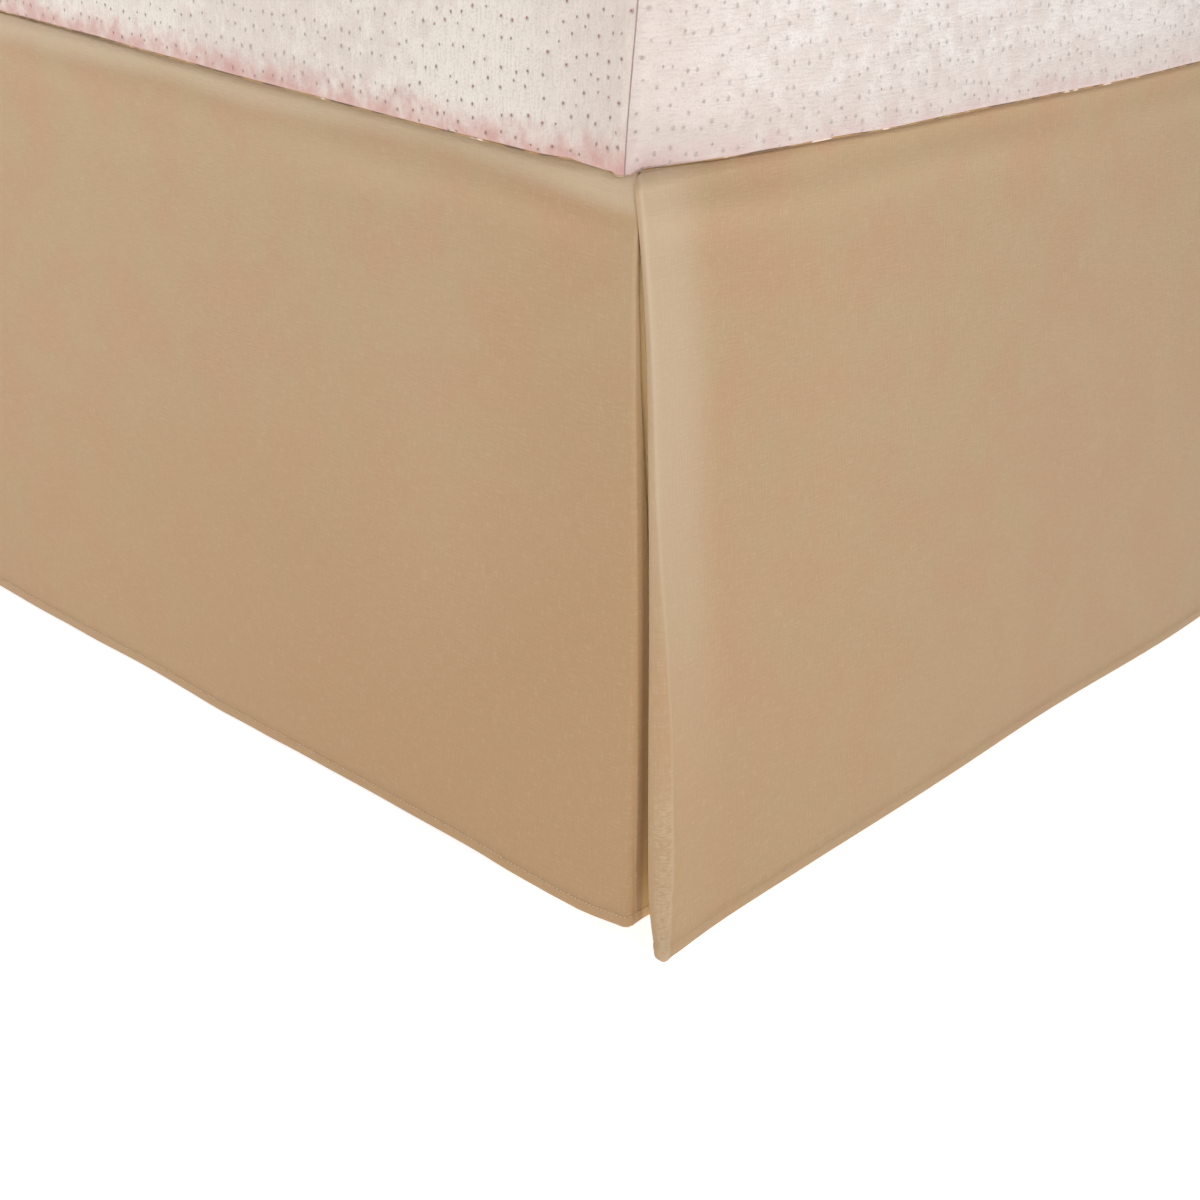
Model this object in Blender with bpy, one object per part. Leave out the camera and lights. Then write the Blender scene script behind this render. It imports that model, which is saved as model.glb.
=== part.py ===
"""Tailored bed skirt on a plain queen bed base, with the mattress that holds its deck down.

Metres, +Z up. The bed's length runs along Y, with the head at +Y and the foot at -Y, and the
floor is at Z = 0. The skirt is a flat deck with a drop on the foot and on each side, and an
inverted pleat at each foot corner. Cloth is worked out as its middle surface and then thickened.
"""

import math
from collections import namedtuple

import bmesh
import bpy
from mathutils import Vector

# ---- driving sizes ---------------------------------------------------------------------------
MATTRESS_WIDTH = 1.524      # queen, 60 in
MATTRESS_LENGTH = 2.032     # queen, 80 in
MATTRESS_THICK = 0.254
MATTRESS_BULGE = 0.007      # soft sides stand out past the nominal size, except at the head
MATTRESS_CORNER = 0.016
MATTRESS_LOW_EDGE = 0.008
MATTRESS_TOP_EDGE = 0.030
BOX_THICK = 0.229
DROP = 0.381                # deck to hem, 15 in
HEM_CLEARANCE = 0.010       # plain hem above the floor
SHIFT_Y = 0.007             # brings the middle of the whole outline onto the origin

CLOTH = 0.0012
HEM_CLOTH = 0.0020          # turned up twice
HEM_DEPTH = 0.007
HEM_STEP = 0.0008           # height of the step where the turned-up hem begins
GAP = 0.0003                # between pieces that touch

SHOULDER = 0.006            # how the drop rounds over from the deck's seam
LEAST_RADIUS = 0.0004       # of the innermost layer there
MITRE_REACH = 0.040         # length over which layers meet the corner at a mitre
HANG_OUT = 0.002            # the drop hangs this far outside the mattress
BOX_INSET = 0.008           # box spring's face behind the hanging cloth
BOX_CORNER = 0.030
BOX_EDGE = 0.012

PLEAT_DEPTH = 0.075         # from the corner to the hidden inner fold
NEAR_CORNER = 0.034         # where the pleat's back layer starts to swing round the corner
LAYER_GAP = 0.0004          # between the layers of a pleat
LAYER_SPREAD = 0.0018       # how much further apart they hang at the hem
BACK_OF_FOLD = 0.45         # a fold turns tighter at its back, by this share of its rounding
FOLD_RELAX = 0.012          # length over which a fold's layers close up again
CORNER_ROOM = 0.0016        # extra room for the pleat's back layer round the corner
TURN_IN_FOLD = 0.5          # the back layer turns this share of a rounding past the foot's fold
LEAVE_ROUNDINGS = 2.2       # and has swung in behind the side drop this far past its fold
LEAVE_EXTRA = 0.008

SIDE_FLARE_CORNER = 0.0135  # how far each drop's hem stands out, and over what length it eases
SIDE_FLARE_NEAR = 0.0140
SIDE_FLARE_FAR = 0.0120
FOOT_FLARE = 0.0090
CORNER_REACH = 0.45
NEAR_REACH = 1.20
FOOT_CORNER_LIFT = 0.0025   # heights of the hem against the plain drop, along the foot
FOOT_LIFT_REACH = 0.045
FOOT_HEM_DIP = 0.0050
FOOT_DIP_REACH = 0.33
SIDE_TIP_DROP = 0.0043      # and along a side, where the corner hangs lowest
SIDE_HEM_RISE = 0.0093
SIDE_RISE_REACH = 0.022
SIDE_HEM_SETTLE = 0.0020
SIDE_SETTLE_REACH = 0.35
INNER_LIFT = 0.0022         # layers behind the outer one hang this much shorter
INNER_DEPTH = 0.010         # from this depth on
WAVE = 0.0016               # soft unevenness of the hanging cloth, at the hem
LONG_WAVE = 13.1            # radians in a metre
SHORT_WAVE = 23.7
SHORT_WAVE_SHARE = 0.6
SHORT_WAVE_PHASE = 2.1
CALM_CORNER = 0.25          # the waves die out within this of the corner
FOOT_PHASES = {1: 0.4, -1: 2.3}
SIDE_PHASES = {1: 1.1, -1: 3.0}
FOOT_CURL = 0.0010          # how much each panel curls in as it nears its fold, at the hem
SIDE_CURL = 0.0020
CURL_REACH = 0.018

# ---- folds at a foot corner, from the shoulder (share 0) to the hem (share 1) ------------------
Fold = namedtuple("Fold", "share short_mm round_mm")
FOOT_FOLD = (               # short_mm: fold's end short of the corner, negative where it runs past
    Fold(0.00, 7.4, 2.0),
    Fold(0.15, 3.6, 3.3),
    Fold(0.33, -0.2, 4.9),
    Fold(0.52, -3.9, 6.5),
    Fold(0.73, -7.9, 8.0),
    Fold(1.00, -13.0, 9.5),
)
SIDE_FOLD = (
    Fold(0.00, 0.5, 2.2),
    Fold(0.08, 2.5, 2.9),
    Fold(0.18, 4.4, 3.7),
    Fold(0.32, 4.6, 4.4),
    Fold(0.52, 4.2, 6.0),
    Fold(0.72, 3.0, 8.0),
    Fold(0.88, 1.9, 9.2),
    Fold(0.94, 0.8, 8.2),
    Fold(1.00, 0.0, 4.8),
)

# ---- sampling of the cloth -------------------------------------------------------------------
SHOULDER_ANGLES = (90, 60, 30)
DROP_SHARES = (0.0, 0.08, 0.18, 0.33, 0.52, 0.73, 0.89)
FOLD_STEPS = 8
MIDDLE_STEPS = 5
MIDDLE_EASE = 1.5           # crowds them towards the fold
INNER_FOLD_STEPS = 4
BACK_STEPS = 4              # between two of the points that guide the back layer
FOOT_STATIONS = (0.015, 0.035, 0.065, 0.11, 0.17, 0.24, 0.32, 0.41, 0.50, 0.59, 0.68)
SIDE_STATIONS = (0.015, 0.035, 0.065, 0.11, 0.17, 0.25, 0.35, 0.46, 0.58, 0.70, 0.83,
                 0.97, 1.11, 1.25, 1.39, 1.53, 1.67, 1.80, 1.92)

# ---- the bed's plain frame -------------------------------------------------------------------
RAIL_WIDTH = 0.038
RAIL_METAL = 0.003
RAIL_INSET = 0.030          # rail's outer face inside the box spring's side
RAIL_SHORT = 0.030          # rail's ends inside the box spring's ends
BAR_WIDTH = 0.038
BAR_HEIGHT = 0.020
BAR_INSET = 0.120           # first and last cross bar from the box spring's ends
LEG_INSET = 0.065           # side legs from the rail's web
LEG_RADIUS = 0.016
GLIDE_RADIUS = 0.028
GLIDE_HEIGHT = 0.012
GLIDE_EDGE = 0.003
LEG_SIDES = 16

# ---- plain finishes --------------------------------------------------------------------------
Finish = namedtuple("Finish", "colour roughness metallic")
SKIRT_CLOTH = Finish((0.50, 0.36, 0.23), 0.85, 0.0)
DECK_CLOTH = Finish((0.52, 0.38, 0.25), 0.90, 0.0)
BOX_COVER = Finish((0.82, 0.80, 0.76), 0.90, 0.0)
MATTRESS_COVER = Finish((0.86, 0.80, 0.76), 0.85, 0.0)
FRAME_STEEL = Finish((0.05, 0.05, 0.05), 0.50, 0.6)
LEG_STEEL = Finish((0.04, 0.04, 0.04), 0.60, 0.3)

# ---- worked out from the above ---------------------------------------------------------------
DECK_Z = HEM_CLEARANCE + DROP
HANG_X = MATTRESS_WIDTH / 2 + HANG_OUT
FOOT_Y = -MATTRESS_LENGTH / 2 - HANG_OUT + SHIFT_Y
HEAD_Y = MATTRESS_LENGTH / 2 + SHIFT_Y
SIDE_LENGTH = HEAD_Y - FOOT_Y
BOX_TOP = DECK_Z - CLOTH / 2 - GAP
BOX_BOTTOM = BOX_TOP - BOX_THICK
MATTRESS_BOTTOM = DECK_Z + CLOTH / 2 + GAP
RAIL_X = HANG_X - BOX_INSET - RAIL_INSET
BAR_TOP = BOX_BOTTOM - RAIL_METAL - 2 * GAP
BAR_BOTTOM = BAR_TOP - BAR_HEIGHT

# A point of the hanging cloth in plan: out is along +X from the side's hanging plane, back is
# along +Y from the foot's. lean_out and lean_back point into the bed, and depth is how far
# the layer lies behind the outer one.
PlanPoint = namedtuple("PlanPoint", "out back lean_out lean_back depth")


def clear_scene():
    for item in list(bpy.data.objects):
        bpy.data.objects.remove(item, do_unlink=True)


def paint(item, finish):
    surface = bpy.data.materials.new(item.name + "_finish")
    surface.use_nodes = True
    shader = surface.node_tree.nodes["Principled BSDF"]
    shader.inputs["Base Color"].default_value = (*finish.colour, 1.0)
    shader.inputs["Roughness"].default_value = finish.roughness
    shader.inputs["Metallic"].default_value = finish.metallic
    item.data.materials.append(surface)


def add_object(name, shape, finish):
    mesh = bpy.data.meshes.new(name)
    shape.normal_update()
    shape.to_mesh(mesh)
    shape.free()
    item = bpy.data.objects.new(name, mesh)
    bpy.context.scene.collection.objects.link(item)
    paint(item, finish)
    return item


# ---- how the cloth hangs ---------------------------------------------------------------------
def fold_at(table, share):
    """(end short of the corner, rounding) of a fold at this share of the drop."""
    for upper, lower in zip(table, table[1:]):
        if share <= lower.share:
            part = (share - upper.share) / (lower.share - upper.share)
            short = upper.short_mm + part * (lower.short_mm - upper.short_mm)
            rounding = upper.round_mm + part * (lower.round_mm - upper.round_mm)
            return short / 1000, rounding / 1000
    return table[-1].short_mm / 1000, table[-1].round_mm / 1000


def fade(distance, reach):
    return math.exp(-((distance / reach) ** 2))


def waves(along, share, phase):
    """Soft unevenness along a drop, none at the corner and none at the deck."""
    swing = math.sin(along * LONG_WAVE + phase)
    swing += SHORT_WAVE_SHARE * math.sin(along * SHORT_WAVE + SHORT_WAVE_PHASE * phase)
    return WAVE * share * swing * (1 - fade(along, CALM_CORNER))


def foot_flare(along, share, phase):
    return share * FOOT_FLARE * (1 - fade(along, CORNER_REACH)) + waves(along, share, phase)


def side_flare(along, share, phase):
    corner = SIDE_FLARE_CORNER * fade(along, CORNER_REACH)
    near = SIDE_FLARE_NEAR * fade(along, NEAR_REACH)
    return share * (SIDE_FLARE_FAR + corner + near) + waves(along, share, phase)


def curl(face, along, share):
    """How far the outer layer curls in as it nears the fold."""
    end = fold_at(face.folds, share)[0]
    return face.curl * share * math.exp(-max(along - end, 0) / CURL_REACH)


def layer_step(share):
    return CLOTH + LAYER_GAP + LAYER_SPREAD * share


def foot_point(along, depth, share, phase):
    return PlanPoint(-along, depth - foot_flare(along, share, phase), 0, 1, depth)


def side_point(along, depth, share, phase):
    return PlanPoint(side_flare(along, share, phase) - depth, along, -1, 0, depth)


# A face of the skirt: how a point on it is placed, its folds, its curl and its stations.
Face = namedtuple("Face", "place folds curl stations")
FOOT = Face(foot_point, FOOT_FOLD, FOOT_CURL, FOOT_STATIONS)
SIDE = Face(side_point, SIDE_FOLD, SIDE_CURL, SIDE_STATIONS + (SIDE_LENGTH,))


def middle_depth(face, along, share):
    """Depth of the layer that goes back behind the fold: deepest at the turn, then close."""
    end, rounding = fold_at(face.folds, share)
    rest = layer_step(share)
    deepest = curl(face, end, share) + rounding * (1 + BACK_OF_FOLD)
    return rest + (deepest - rest) * fade(max(along - end - rounding, 0), FOLD_RELAX)


def fold_line(face, share, phase):
    """The turn at a fold's edge, then the layer that goes back behind it to the inner fold."""
    end, rounding = fold_at(face.folds, share)
    lip = curl(face, end, share)
    line = []
    for step in range(FOLD_STEPS + 1):
        turn = math.pi * step / FOLD_STEPS
        back = 1 if step <= FOLD_STEPS / 2 else BACK_OF_FOLD
        depth = lip + rounding * (1 - back * math.cos(turn))
        line.append(face.place(end + rounding * (1 - math.sin(turn)), depth, share, phase))
    start = end + rounding
    for step in range(1, MIDDLE_STEPS + 1):
        along = start + (PLEAT_DEPTH - start) * (step / MIDDLE_STEPS) ** MIDDLE_EASE
        line.append(face.place(along, middle_depth(face, along, share), share, phase))
    return line


def smooth_between(before, start, end, after, part):
    """A point on the smooth curve through four plan positions, between the middle two."""
    total = []
    for a, b, c, d in zip(before, start, end, after):
        total.append(0.5 * (2 * b + (c - a) * part + (2 * a - 5 * b + 4 * c - d) * part ** 2
                            + (3 * b - a - 3 * c + d) * part ** 3))
    return total


def back_line(share, foot_phase, side_phase):
    """The pleat's back layer: from the foot's inner fold round the corner to the side's."""
    step = layer_step(share)
    foot_end, foot_round = fold_at(FOOT_FOLD, share)
    side_end, side_round = fold_at(SIDE_FOLD, share)
    foot_deep = middle_depth(FOOT, foot_end, share) + step + CORNER_ROOM
    side_deep = middle_depth(SIDE, side_end, share) + step + CORNER_ROOM
    turn_along = max(foot_end + TURN_IN_FOLD * foot_round,
                     side_deep - side_flare(side_end, share, side_phase) + CORNER_ROOM)
    turn = foot_point(turn_along, foot_deep, share, foot_phase)
    leave = max(side_end + LEAVE_ROUNDINGS * side_round, turn.back) + LEAVE_EXTRA
    leave_depth = middle_depth(SIDE, leave, share) + step + CORNER_ROOM
    guides = [
        foot_point(PLEAT_DEPTH, middle_depth(FOOT, PLEAT_DEPTH, share) + step, share, foot_phase),
        foot_point(NEAR_CORNER, middle_depth(FOOT, NEAR_CORNER, share) + step, share, foot_phase),
        turn,
        side_point(leave, leave_depth, share, side_phase),
        side_point(PLEAT_DEPTH, middle_depth(SIDE, PLEAT_DEPTH, share) + step, share, side_phase),
    ]
    depths = [guide.depth for guide in guides]
    places = [(guide.out, guide.back) for guide in guides]
    leans = [(0, 1), (0, 1), (-math.sqrt(0.5), math.sqrt(0.5)), (-1, 0), (-1, 0)]
    line = []
    for index in range(len(guides) - 1):
        before = places[max(index - 1, 0)]
        after = places[min(index + 2, len(places) - 1)]
        for count in range(BACK_STEPS):
            part = count / BACK_STEPS
            out, back = smooth_between(before, places[index], places[index + 1], after, part)
            lean = Vector(leans[index]).lerp(Vector(leans[index + 1]), part).normalized()
            depth = depths[index] + part * (depths[index + 1] - depths[index])
            line.append(PlanPoint(out, back, lean.x, lean.y, depth))
    line.append(PlanPoint(*places[-1], -1, 0, depths[-1]))
    return line


def inner_fold(share, phase):
    """The hidden fold of the foot drop, between its middle and its back layer."""
    step = layer_step(share)
    depth = middle_depth(FOOT, PLEAT_DEPTH, share)
    line = []
    for count in range(1, INNER_FOLD_STEPS):
        turn = math.pi * count / INNER_FOLD_STEPS
        along = PLEAT_DEPTH + step / 2 * math.sin(turn)
        line.append(foot_point(along, depth + step / 2 * (1 - math.cos(turn)), share, phase))
    return line


def panel_line(face, share, phase):
    """The outer layer, from far along the face to just short of the fold's turn."""
    line = []
    for station in reversed(face.stations):
        line.append(face.place(station, curl(face, station, share), share, phase))
    return line


def foot_half(share, foot_phase, side_phase):
    line = panel_line(FOOT, share, foot_phase) + fold_line(FOOT, share, foot_phase)
    return line + inner_fold(share, foot_phase) + back_line(share, foot_phase, side_phase)


def side_line(share, phase):
    return panel_line(SIDE, share, phase) + fold_line(SIDE, share, phase)


def rows():
    """(share of the drop, shoulder angle) of each row of points, from the seam to the hem."""
    listed = [(0.0, math.radians(angle)) for angle in SHOULDER_ANGLES]
    listed += [(share, 0.0) for share in DROP_SHARES]
    fall = DROP - SHOULDER
    hem = 1 - HEM_DEPTH / fall
    step = HEM_STEP / fall
    return listed + [(hem - step, 0.0), (hem, 0.0), (1.0, 0.0)]


def hem_height(point, share):
    """How much a point hangs above (or below) the plain drop: all of it at the hem."""
    foot = FOOT_CORNER_LIFT * fade(point.out, FOOT_LIFT_REACH)
    foot -= FOOT_HEM_DIP * (1 - fade(point.out, FOOT_DIP_REACH))
    along = max(point.back, 0)
    side = SIDE_HEM_RISE * (1 - math.exp(-along / SIDE_RISE_REACH)) - SIDE_TIP_DROP
    side -= SIDE_HEM_SETTLE * (1 - fade(along, SIDE_SETTLE_REACH))
    on_foot = point.lean_back ** 2
    inner = INNER_LIFT * min(point.depth / INNER_DEPTH, 1)
    return share * (on_foot * foot + (1 - on_foot) * side + inner)


def place_in_room(point, share, angle, side):
    """World position of a plan point on a row, on the +X side (side 1) or the -X one (-1)."""
    radius = max(SHOULDER - point.depth, LEAST_RADIUS)
    inward = (SHOULDER - point.depth - radius * math.cos(angle)) if angle else 0.0
    out = point.out + inward * point.lean_out
    back = point.back + inward * point.lean_back
    if point.lean_back == 1:
        out -= inward * math.exp(min(point.out, 0) / MITRE_REACH)
    elif point.lean_out == -1:
        back += inward * math.exp(-point.back / MITRE_REACH)
    z = DECK_Z - SHOULDER + radius * math.sin(angle)
    z += -share * (DROP - SHOULDER) + hem_height(point, share)
    return Vector((side * (HANG_X + out), FOOT_Y + back, z))


def cloth_sheet(name, columns_of_row):
    """A closed sheet over rows of equally many points, thicker along its hem."""
    shape = bmesh.new()
    hem_layer = shape.verts.layers.deform.verify()
    listed = rows()
    grid = []
    for index, (share, angle) in enumerate(listed):
        line = [shape.verts.new(place) for place in columns_of_row(share, angle)]
        if index >= len(listed) - 2:
            for vert in line:
                vert[hem_layer][0] = 1.0
        grid.append(line)
    for upper, lower in zip(grid, grid[1:]):
        for column in range(len(upper) - 1):
            corners = (upper[column], upper[column + 1], lower[column + 1], lower[column])
            shape.faces.new(corners)
    item = add_object(name, shape, SKIRT_CLOTH)
    item.vertex_groups.new(name="hem")
    thicken = item.modifiers.new("cloth", "SOLIDIFY")
    thicken.thickness = HEM_CLOTH
    thicken.offset = 0.0
    thicken.vertex_group = "hem"
    thicken.thickness_vertex_group = CLOTH / HEM_CLOTH


def foot_columns(share, angle):
    halves = {}
    for side in (1, -1):
        line = foot_half(share, FOOT_PHASES[side], SIDE_PHASES[side])
        halves[side] = [place_in_room(point, share, angle, side) for point in line]
    return list(reversed(halves[-1])) + halves[1]


def side_columns(side):
    def columns(share, angle):
        line = side_line(share, SIDE_PHASES[side])
        return [place_in_room(point, share, angle, side) for point in line]
    return columns


def make_drops():
    cloth_sheet("foot_drop", foot_columns)
    cloth_sheet("side_drop_right", side_columns(1))
    cloth_sheet("side_drop_left", side_columns(-1))


# ---- deck, box spring and mattress -------------------------------------------------------------
def block(low, high):
    shape = bmesh.new()
    middle = [(a + b) / 2 for a, b in zip(low, high)]
    size = [b - a for a, b in zip(low, high)]
    bmesh.ops.create_cube(shape, size=1.0)
    bmesh.ops.scale(shape, vec=size, verts=shape.verts)
    bmesh.ops.translate(shape, vec=middle, verts=shape.verts)
    return shape


def round_edges(shape, chosen, radius, segments):
    edges = [edge for edge in shape.edges if chosen(edge)]
    bmesh.ops.bevel(shape, geom=edges, offset=radius, segments=segments, profile=0.5,
                    affect="EDGES", clamp_overlap=True)


def upright(edge):
    return abs((edge.verts[0].co - edge.verts[1].co).normalized().z) > 0.99


def at_height(z):
    return lambda edge: all(abs(vert.co.z - z) < 1e-5 for vert in edge.verts)


def make_deck():
    inset = SHOULDER + GAP
    low = (-HANG_X + inset, FOOT_Y + inset, DECK_Z - CLOTH / 2)
    high = (HANG_X - inset, HEAD_Y, DECK_Z + CLOTH / 2)
    add_object("deck", block(low, high), DECK_CLOTH)


def make_box_spring():
    low = (-HANG_X + BOX_INSET, FOOT_Y + BOX_INSET, BOX_BOTTOM)
    high = (HANG_X - BOX_INSET, HEAD_Y, BOX_TOP)
    shape = block(low, high)
    round_edges(shape, upright, BOX_CORNER, 6)
    round_edges(shape, at_height(BOX_TOP), BOX_EDGE, 3)
    add_object("box_spring", shape, BOX_COVER)


def make_mattress():
    half = MATTRESS_WIDTH / 2 + MATTRESS_BULGE
    low = (-half, FOOT_Y + HANG_OUT - MATTRESS_BULGE, MATTRESS_BOTTOM)
    high = (half, HEAD_Y, MATTRESS_BOTTOM + MATTRESS_THICK)
    shape = block(low, high)
    round_edges(shape, upright, MATTRESS_CORNER, 4)
    round_edges(shape, at_height(low[2]), MATTRESS_LOW_EDGE, 3)
    round_edges(shape, at_height(high[2]), MATTRESS_TOP_EDGE, 4)
    add_object("mattress", shape, MATTRESS_COVER)


# ---- frame -----------------------------------------------------------------------------------
def bar_places():
    first = FOOT_Y + BOX_INSET + BAR_INSET
    last = HEAD_Y - BAR_INSET
    return (first, (first + last) / 2, last)


def make_rails():
    top = BOX_BOTTOM - GAP
    for side, name in ((1, "rail_right"), (-1, "rail_left")):
        outline = ((0, 0), (RAIL_WIDTH, 0), (RAIL_WIDTH, RAIL_METAL),
                   (RAIL_METAL, RAIL_METAL), (RAIL_METAL, RAIL_WIDTH), (0, RAIL_WIDTH))
        shape = bmesh.new()
        start = FOOT_Y + BOX_INSET + RAIL_SHORT
        corners = [shape.verts.new((side * (RAIL_X - x), start, top - z)) for x, z in outline]
        face = shape.faces.new(corners)
        pulled = bmesh.ops.extrude_face_region(shape, geom=[face])
        moved = [part for part in pulled["geom"] if isinstance(part, bmesh.types.BMVert)]
        bmesh.ops.translate(shape, vec=(0, HEAD_Y - RAIL_SHORT - start, 0), verts=moved)
        bmesh.ops.recalc_face_normals(shape, faces=shape.faces)
        add_object(name, shape, FRAME_STEEL)


def make_cross_bars():
    reach = RAIL_X - RAIL_METAL - GAP
    for count, y in enumerate(bar_places(), 1):
        low = (-reach, y - BAR_WIDTH / 2, BAR_BOTTOM)
        high = (reach, y + BAR_WIDTH / 2, BAR_TOP)
        add_object(f"cross_bar_{count}", block(low, high), FRAME_STEEL)


def leg_shape():
    """A turned leg: a round post on a wider glide with a soft edge."""
    top = BAR_BOTTOM - GAP
    outline = ((0, 0), (GLIDE_RADIUS - GLIDE_EDGE, 0), (GLIDE_RADIUS, GLIDE_EDGE),
               (GLIDE_RADIUS, GLIDE_HEIGHT - GLIDE_EDGE), (LEG_RADIUS, GLIDE_HEIGHT),
               (LEG_RADIUS, top), (0, top))
    shape = bmesh.new()
    points = [shape.verts.new((radius, 0, z)) for radius, z in outline]
    line = [shape.edges.new(pair) for pair in zip(points, points[1:])]
    bmesh.ops.spin(shape, geom=points + line, cent=(0, 0, 0), axis=(0, 0, 1),
                   angle=2 * math.pi, steps=LEG_SIDES, use_merge=True)
    bmesh.ops.remove_doubles(shape, verts=shape.verts, dist=1e-5)
    bmesh.ops.recalc_face_normals(shape, faces=shape.faces)
    return shape


def make_legs():
    side_x = RAIL_X - RAIL_METAL - LEG_INSET
    for count, y in enumerate(bar_places(), 1):
        for name, x in (("left", -side_x), ("centre", 0.0), ("right", side_x)):
            shape = leg_shape()
            bmesh.ops.translate(shape, vec=(x, y, 0), verts=shape.verts)
            add_object(f"leg_{name}_{count}", shape, LEG_STEEL)


def main():
    clear_scene()
    make_deck()
    make_drops()
    make_box_spring()
    make_mattress()
    make_rails()
    make_cross_bars()
    make_legs()


main()
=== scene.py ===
import math

import bmesh
import bpy
from mathutils import Matrix, Vector, noise


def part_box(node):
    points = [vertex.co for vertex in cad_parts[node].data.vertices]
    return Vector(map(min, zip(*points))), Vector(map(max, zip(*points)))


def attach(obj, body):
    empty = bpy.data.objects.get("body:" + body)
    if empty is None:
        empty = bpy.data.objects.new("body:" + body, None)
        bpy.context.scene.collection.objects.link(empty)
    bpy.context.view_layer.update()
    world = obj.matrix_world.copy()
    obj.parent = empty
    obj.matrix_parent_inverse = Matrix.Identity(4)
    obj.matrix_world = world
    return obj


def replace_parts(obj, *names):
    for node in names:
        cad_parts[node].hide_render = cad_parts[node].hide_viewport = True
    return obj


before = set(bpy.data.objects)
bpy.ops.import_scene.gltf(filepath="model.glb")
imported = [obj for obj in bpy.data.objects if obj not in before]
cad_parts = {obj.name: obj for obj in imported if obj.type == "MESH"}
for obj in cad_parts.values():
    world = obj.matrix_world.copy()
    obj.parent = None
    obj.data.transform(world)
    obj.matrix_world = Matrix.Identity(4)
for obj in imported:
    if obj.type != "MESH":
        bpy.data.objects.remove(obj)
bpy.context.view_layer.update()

scene = bpy.context.scene
scene.view_settings.view_transform = "Standard"

# Metres. The foot of the bed is at -Y, the head at +Y, the floor at Z = 0.
skirt = {
    "deckZ": 0.391,
    "drop": 0.381,
    "hangX": 0.764,         # hanging plane of the side drops
    "footY": -1.011,        # hanging plane of the foot drop
    "headY": 1.023,
    "cloth": 0.0012,
    "hemCloth": 0.0020,     # turned up twice
    "hemDepth": 0.007,
    "shoulder": 0.006,      # how the drop rounds over from the deck's seam
    "leastRadius": 0.0004,  # of the innermost layer there
    "mitreReach": 0.040,    # length over which the layers meet the corner at a mitre
    "pleatDepth": 0.075,    # from the corner to the hidden inner fold
    "nearCorner": 0.034,    # where the pleat's back layer starts to swing round the corner
    "layerGap": 0.0004,     # between a pleat's layers
    "layerSpread": 0.0018,  # how much further apart they hang at the hem
    "backOfFold": 0.45,     # a fold turns tighter at its back, by this share of its rounding
    "foldRelax": 0.012,     # length over which a fold's layers close up again
    "cornerRoom": 0.0016,   # extra room for the back layer round the corner
    "turnInFold": 0.5,      # it turns this share of a rounding past the foot's fold
    "leaveRoundings": 2.2,  # and has swung in behind the side drop this far past its fold
    "leaveExtra": 0.008,
}


def mix(a, b, part):
    return a + (b - a) * part


def fade(distance, reach):
    return math.exp(-((distance / reach) ** 2))


def ease(value):
    value = min(max(value, 0.0), 1.0)
    return value * value * (3 - 2 * value)


def addObject(name, shape, finish, smooth=True):
    # turns a bmesh into an object of the scene
    mesh = bpy.data.meshes.new(name)
    shape.normal_update()
    shape.to_mesh(mesh)
    shape.free()
    for face in mesh.polygons:
        face.use_smooth = smooth
    item = bpy.data.objects.new(name, mesh)
    scene.collection.objects.link(item)
    mesh.materials.append(finish)
    return item


def srgb(red, green, blue):
    # a screen colour as the linear one that shaders take
    return tuple(((part / 255 + 0.055) / 1.055) ** 2.4 for part in (red, green, blue))


viewpoint = {"place": (1.3218, -1.6261, 0.5858), "turn": -42.987, "down": 25.369, "roll": 2.2, "lens": 58.896,
             "sensor": 36, "nearest": 0.02}


def makeCamera():
    turn, down, roll = (math.radians(viewpoint[key]) for key in ("turn", "down", "roll"))
    ahead = Vector((math.sin(turn) * math.cos(down), math.cos(turn) * math.cos(down), -math.sin(down)))
    right = Vector((math.cos(turn), -math.sin(turn), 0))
    up = right.cross(ahead)
    tiltedRight = right * math.cos(roll) + up * math.sin(roll)
    tiltedUp = up * math.cos(roll) - right * math.sin(roll)
    lens = bpy.data.cameras.new("camera")
    lens.lens = viewpoint["lens"]
    lens.sensor_width = viewpoint["sensor"]
    lens.clip_start = viewpoint["nearest"]
    camera = bpy.data.objects.new("camera", lens)
    scene.collection.objects.link(camera)
    axes = Matrix((tiltedRight, tiltedUp, -ahead)).transposed()
    camera.matrix_world = Matrix.Translation(viewpoint["place"]) @ axes.to_4x4()
    scene.camera = camera


makeCamera()


def newFinish(name):
    finish = bpy.data.materials.new(name)
    finish.use_nodes = True
    return finish, finish.node_tree, finish.node_tree.nodes["Principled BSDF"]


def fillIn(tree, node, inputs):
    # links sockets to a node's inputs and sets plain values on its own ones
    for key, value in inputs.items():
        if isinstance(value, bpy.types.NodeSocket):
            tree.links.new(value, node.inputs[key])
        else:
            node.inputs[key].default_value = value


def add(tree, kind, inputs=None, **settings):
    node = tree.nodes.new("ShaderNode" + kind)
    for key, value in settings.items():
        setattr(node, key, value)
    fillIn(tree, node, inputs or {})
    return node


def stretched(tree, place, size):
    # one unit of the scaled place is one repeat of the given size
    return add(tree, "Mapping", {"Vector": place, "Scale": [1 / part for part in size]}).outputs[0]


def grain(tree, place, size, detail=2.0, rough=0.5, kind="2D"):
    # cloudy noise, with its size in metres along each direction
    scaled = stretched(tree, place, size)
    return add(tree, "TexNoise", {"Vector": scaled, "Scale": 1.0, "Detail": detail, "Roughness": rough},
               noise_dimensions=kind).outputs[0]


def speckle(tree, size, detail=2.0, rough=0.5):
    # grain through a piece's own space, alike in every direction
    return grain(tree, add(tree, "TexCoord").outputs["Object"], (size, size, size), detail, rough, "3D")


def calc(tree, operation, first, second=0.5, third=0.0, clamp=False):
    inputs = {0: first, 1: second, 2: third}
    return add(tree, "Math", inputs, operation=operation, use_clamp=clamp).outputs[0]


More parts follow.
